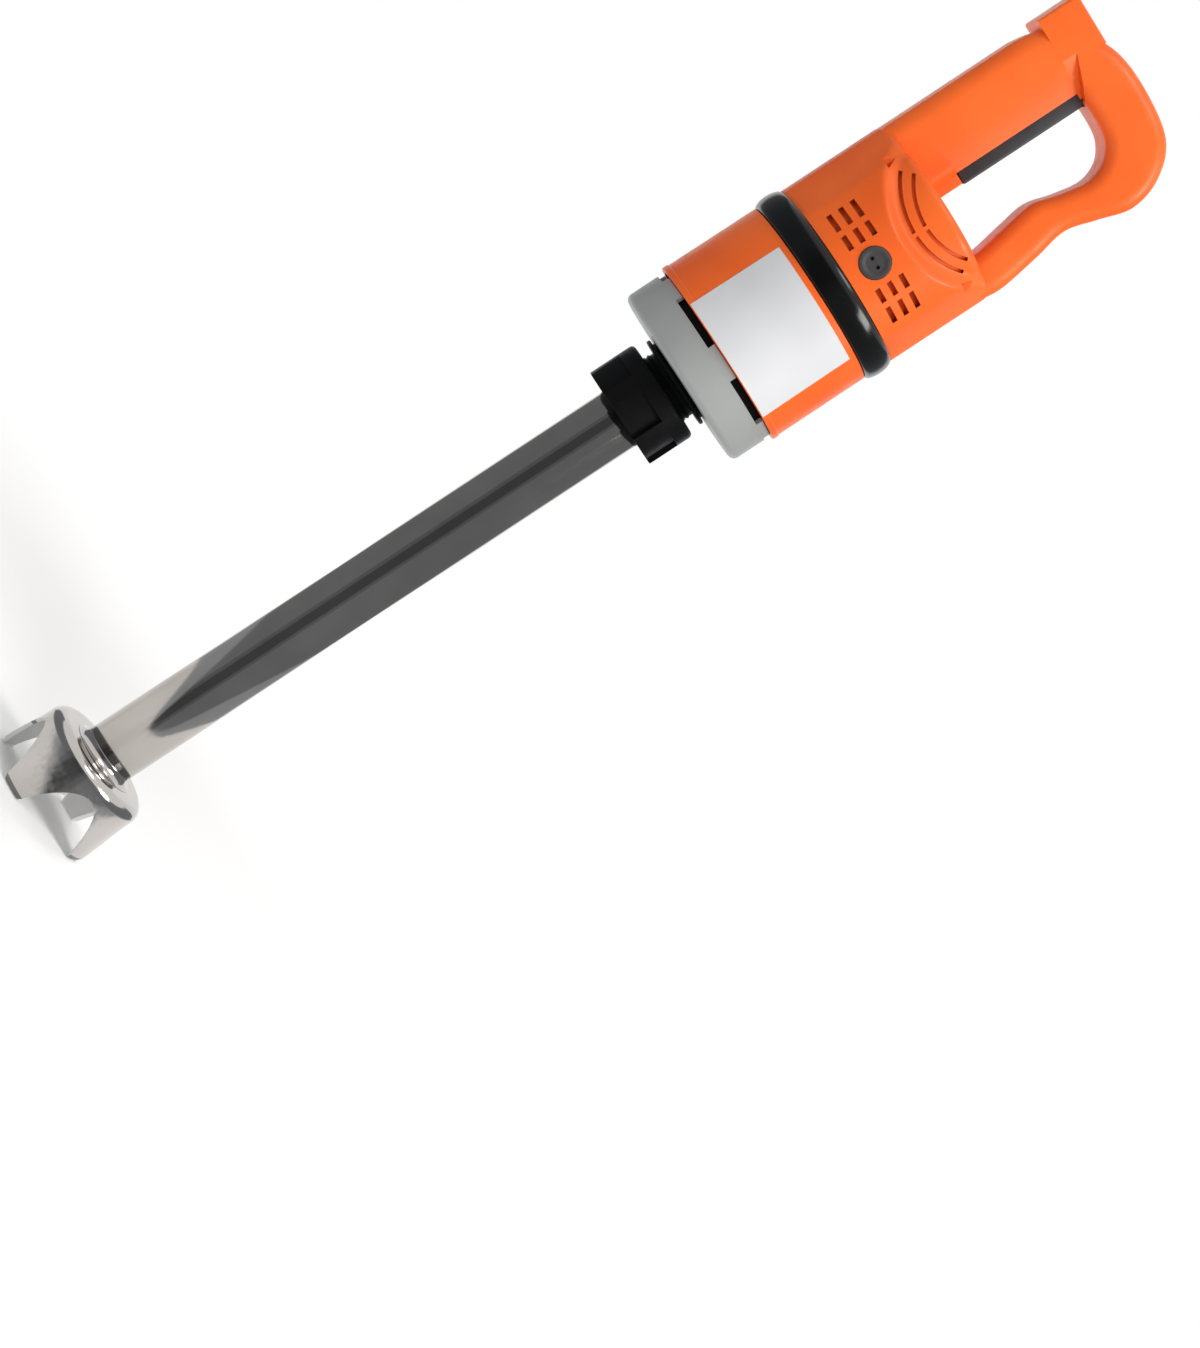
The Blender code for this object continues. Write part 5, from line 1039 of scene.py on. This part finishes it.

# %% [markdown]
# ## Air baffles
# Behind the vents of such a machine stand thin walls of the same plastic that keep cooling air away from
# the brushes. They are why the vents look deep red and not black. Two stand behind the short vents on each
# side, and one behind the arcs. A black ring right behind the cover's slots is made here too: it is painted
# shade, so that the slots read black where the inside of the motor would lie in shadow.

# %% Baffles
for side, label in ((-1, "left"), (1, "right")):
    parts = []
    for end in (-1, 1):
        middle = side * math.pi / 2 + end * math.radians(33)
        outline = ring_sector(0.0526, 0.0538, middle, math.radians(18.5), 12)
        parts.append(cutter_from("baffle", outline, casing_front + 0.0068, casing_front + 0.0335, Matrix()))
    outline = ring_sector(0.0497, 0.0507, side * math.pi / 2, math.radians(43.5), 20)
    parts.append(cutter_from("arc_baffle", outline, casing_front + 0.0425, casing_front + 0.0685, Matrix()))
    shape = bmesh.new()
    for part in parts:
        shape.from_mesh(part.data)
        bpy.data.objects.remove(part)
    baffle = add_to_scene(f"air_baffle_{label}", bpy.data.meshes.new(f"air_baffle_{label}"))
    shape.to_mesh(baffle.data)
    shape.free()
    baffle.data.materials.append(ORANGE)
    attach(baffle, "motor_head")
    tally(smooth_over(baffle))
# A black ring right behind the cover's slots: painted shade, so that the slots read black.
shade_ring_low = cover_high - 0.0065
shade_ring_high = cover_high + 0.004
shade_ring_section = [(0.0530, shade_ring_low), (0.0541, shade_ring_low), (0.0541, shade_ring_high), (0.0530, shade_ring_high)]
points, faces = spin(rounded(shade_ring_section, 0.0003, 2), 96)
tally(place_piece("slot_shade_ring", points, faces, BLACK, "motor_head"))

# %% [markdown]
# ## Brush caps and trigger
# The brush cap is a slotless cap with two small holes for a pin wrench and a dished face. The trigger bar
# has softly rounded long edges.

# %% Brush caps
for side, label in ((-1, "left"), (1, "right")):
    cap_face = [(0.0, 0.0598), (0.0055, 0.0598), (0.0075, 0.0604), (0.0096, 0.0604), (0.0096, 0.0536),
                (0.0, 0.0536)]
    outline = rounded(cap_face, [0, 0.002, 0.0008, 0.0006, 0.0003, 0], 4)[1:-1]
    points = []
    steps = 64
    for step in range(steps):
        for radius, height in outline:
            x, rise = on_circle(radius, math.tau * step / steps)
            points.append((x, side * height, brush_height + rise))
    count = len(outline)
    faces = sweep_faces(steps, count, False)
    faces.append([step * count for step in range(steps)])
    faces.append([step * count + count - 1 for step in range(steps)])
    cap = place_piece(f"brush_cap_face_{label}", points, faces, CAP_GREY, "motor_head", [f"brush_cap_{label}"])
    holes = []
    for end in (-1, 1):
        low, high = sorted((-side * 0.0565, -side * 0.065))
        place = on_front(end * 0.0031, brush_height)
        holes.append(cutter_from("pin_hole", round_outline(0.0012, 20), low, high, place))
    tally(smooth_over(carve(cap, holes), 35))

# %% Trigger
pivot_height = rear + 0.015
bar_end = rear + 0.1090
bar = [(-0.0045, rear + 0.0208), (-0.0045, bar_end), (-0.0170, bar_end), (-0.0170, rear + 0.0218)]
bar = rounded(bar, 0.0018, 5)
bar_half = 0.009
layers = ((-1, 0.0012), (-0.96, 0.0005), (-0.87, 0.0), (0.87, 0.0), (0.96, 0.0005), (1, 0.0012))
points = []
for width_share, inset in layers:
    points += [(x, bar_half * width_share, z) for x, z in moved_inward(bar, inset)]
size = len(bar)
last = len(points) - size
# The sweep's last faces would lead back to the first layer. The two ends are closed instead.
faces = sweep_faces(len(layers), size)[:last]
faces += [list(range(size)), list(range(last, last + size))]
trigger = place_piece("trigger_bar", points, faces, TRIGGER_GREY, None)
arm = [(-0.0168, rear + 0.030), (-0.0120, rear + 0.0222), (-0.0125, pivot_height), (-0.0205, pivot_height)]
eye = on_front(-0.016, pivot_height)
carve(trigger, [cutter_from("arm", arm, -0.0055, 0.0055, FRONT_PLANE)], "UNION")
carve(trigger, [cutter_from("eye", round_outline(0.005, 28), -0.00552, 0.00552, eye)], "UNION")
carve(trigger, [cutter_from("eye_bore", round_outline(0.0023, 24), -0.02, 0.02, eye)])
smooth_over(trigger, 32)
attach(trigger, "trigger")
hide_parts("trigger")
tally(trigger)

# %% [markdown]
# ## The piece count
# The script ends by printing how many pieces were laid over the engineering model.

# %% Piece count
print("pieces:", len(visible_pieces))
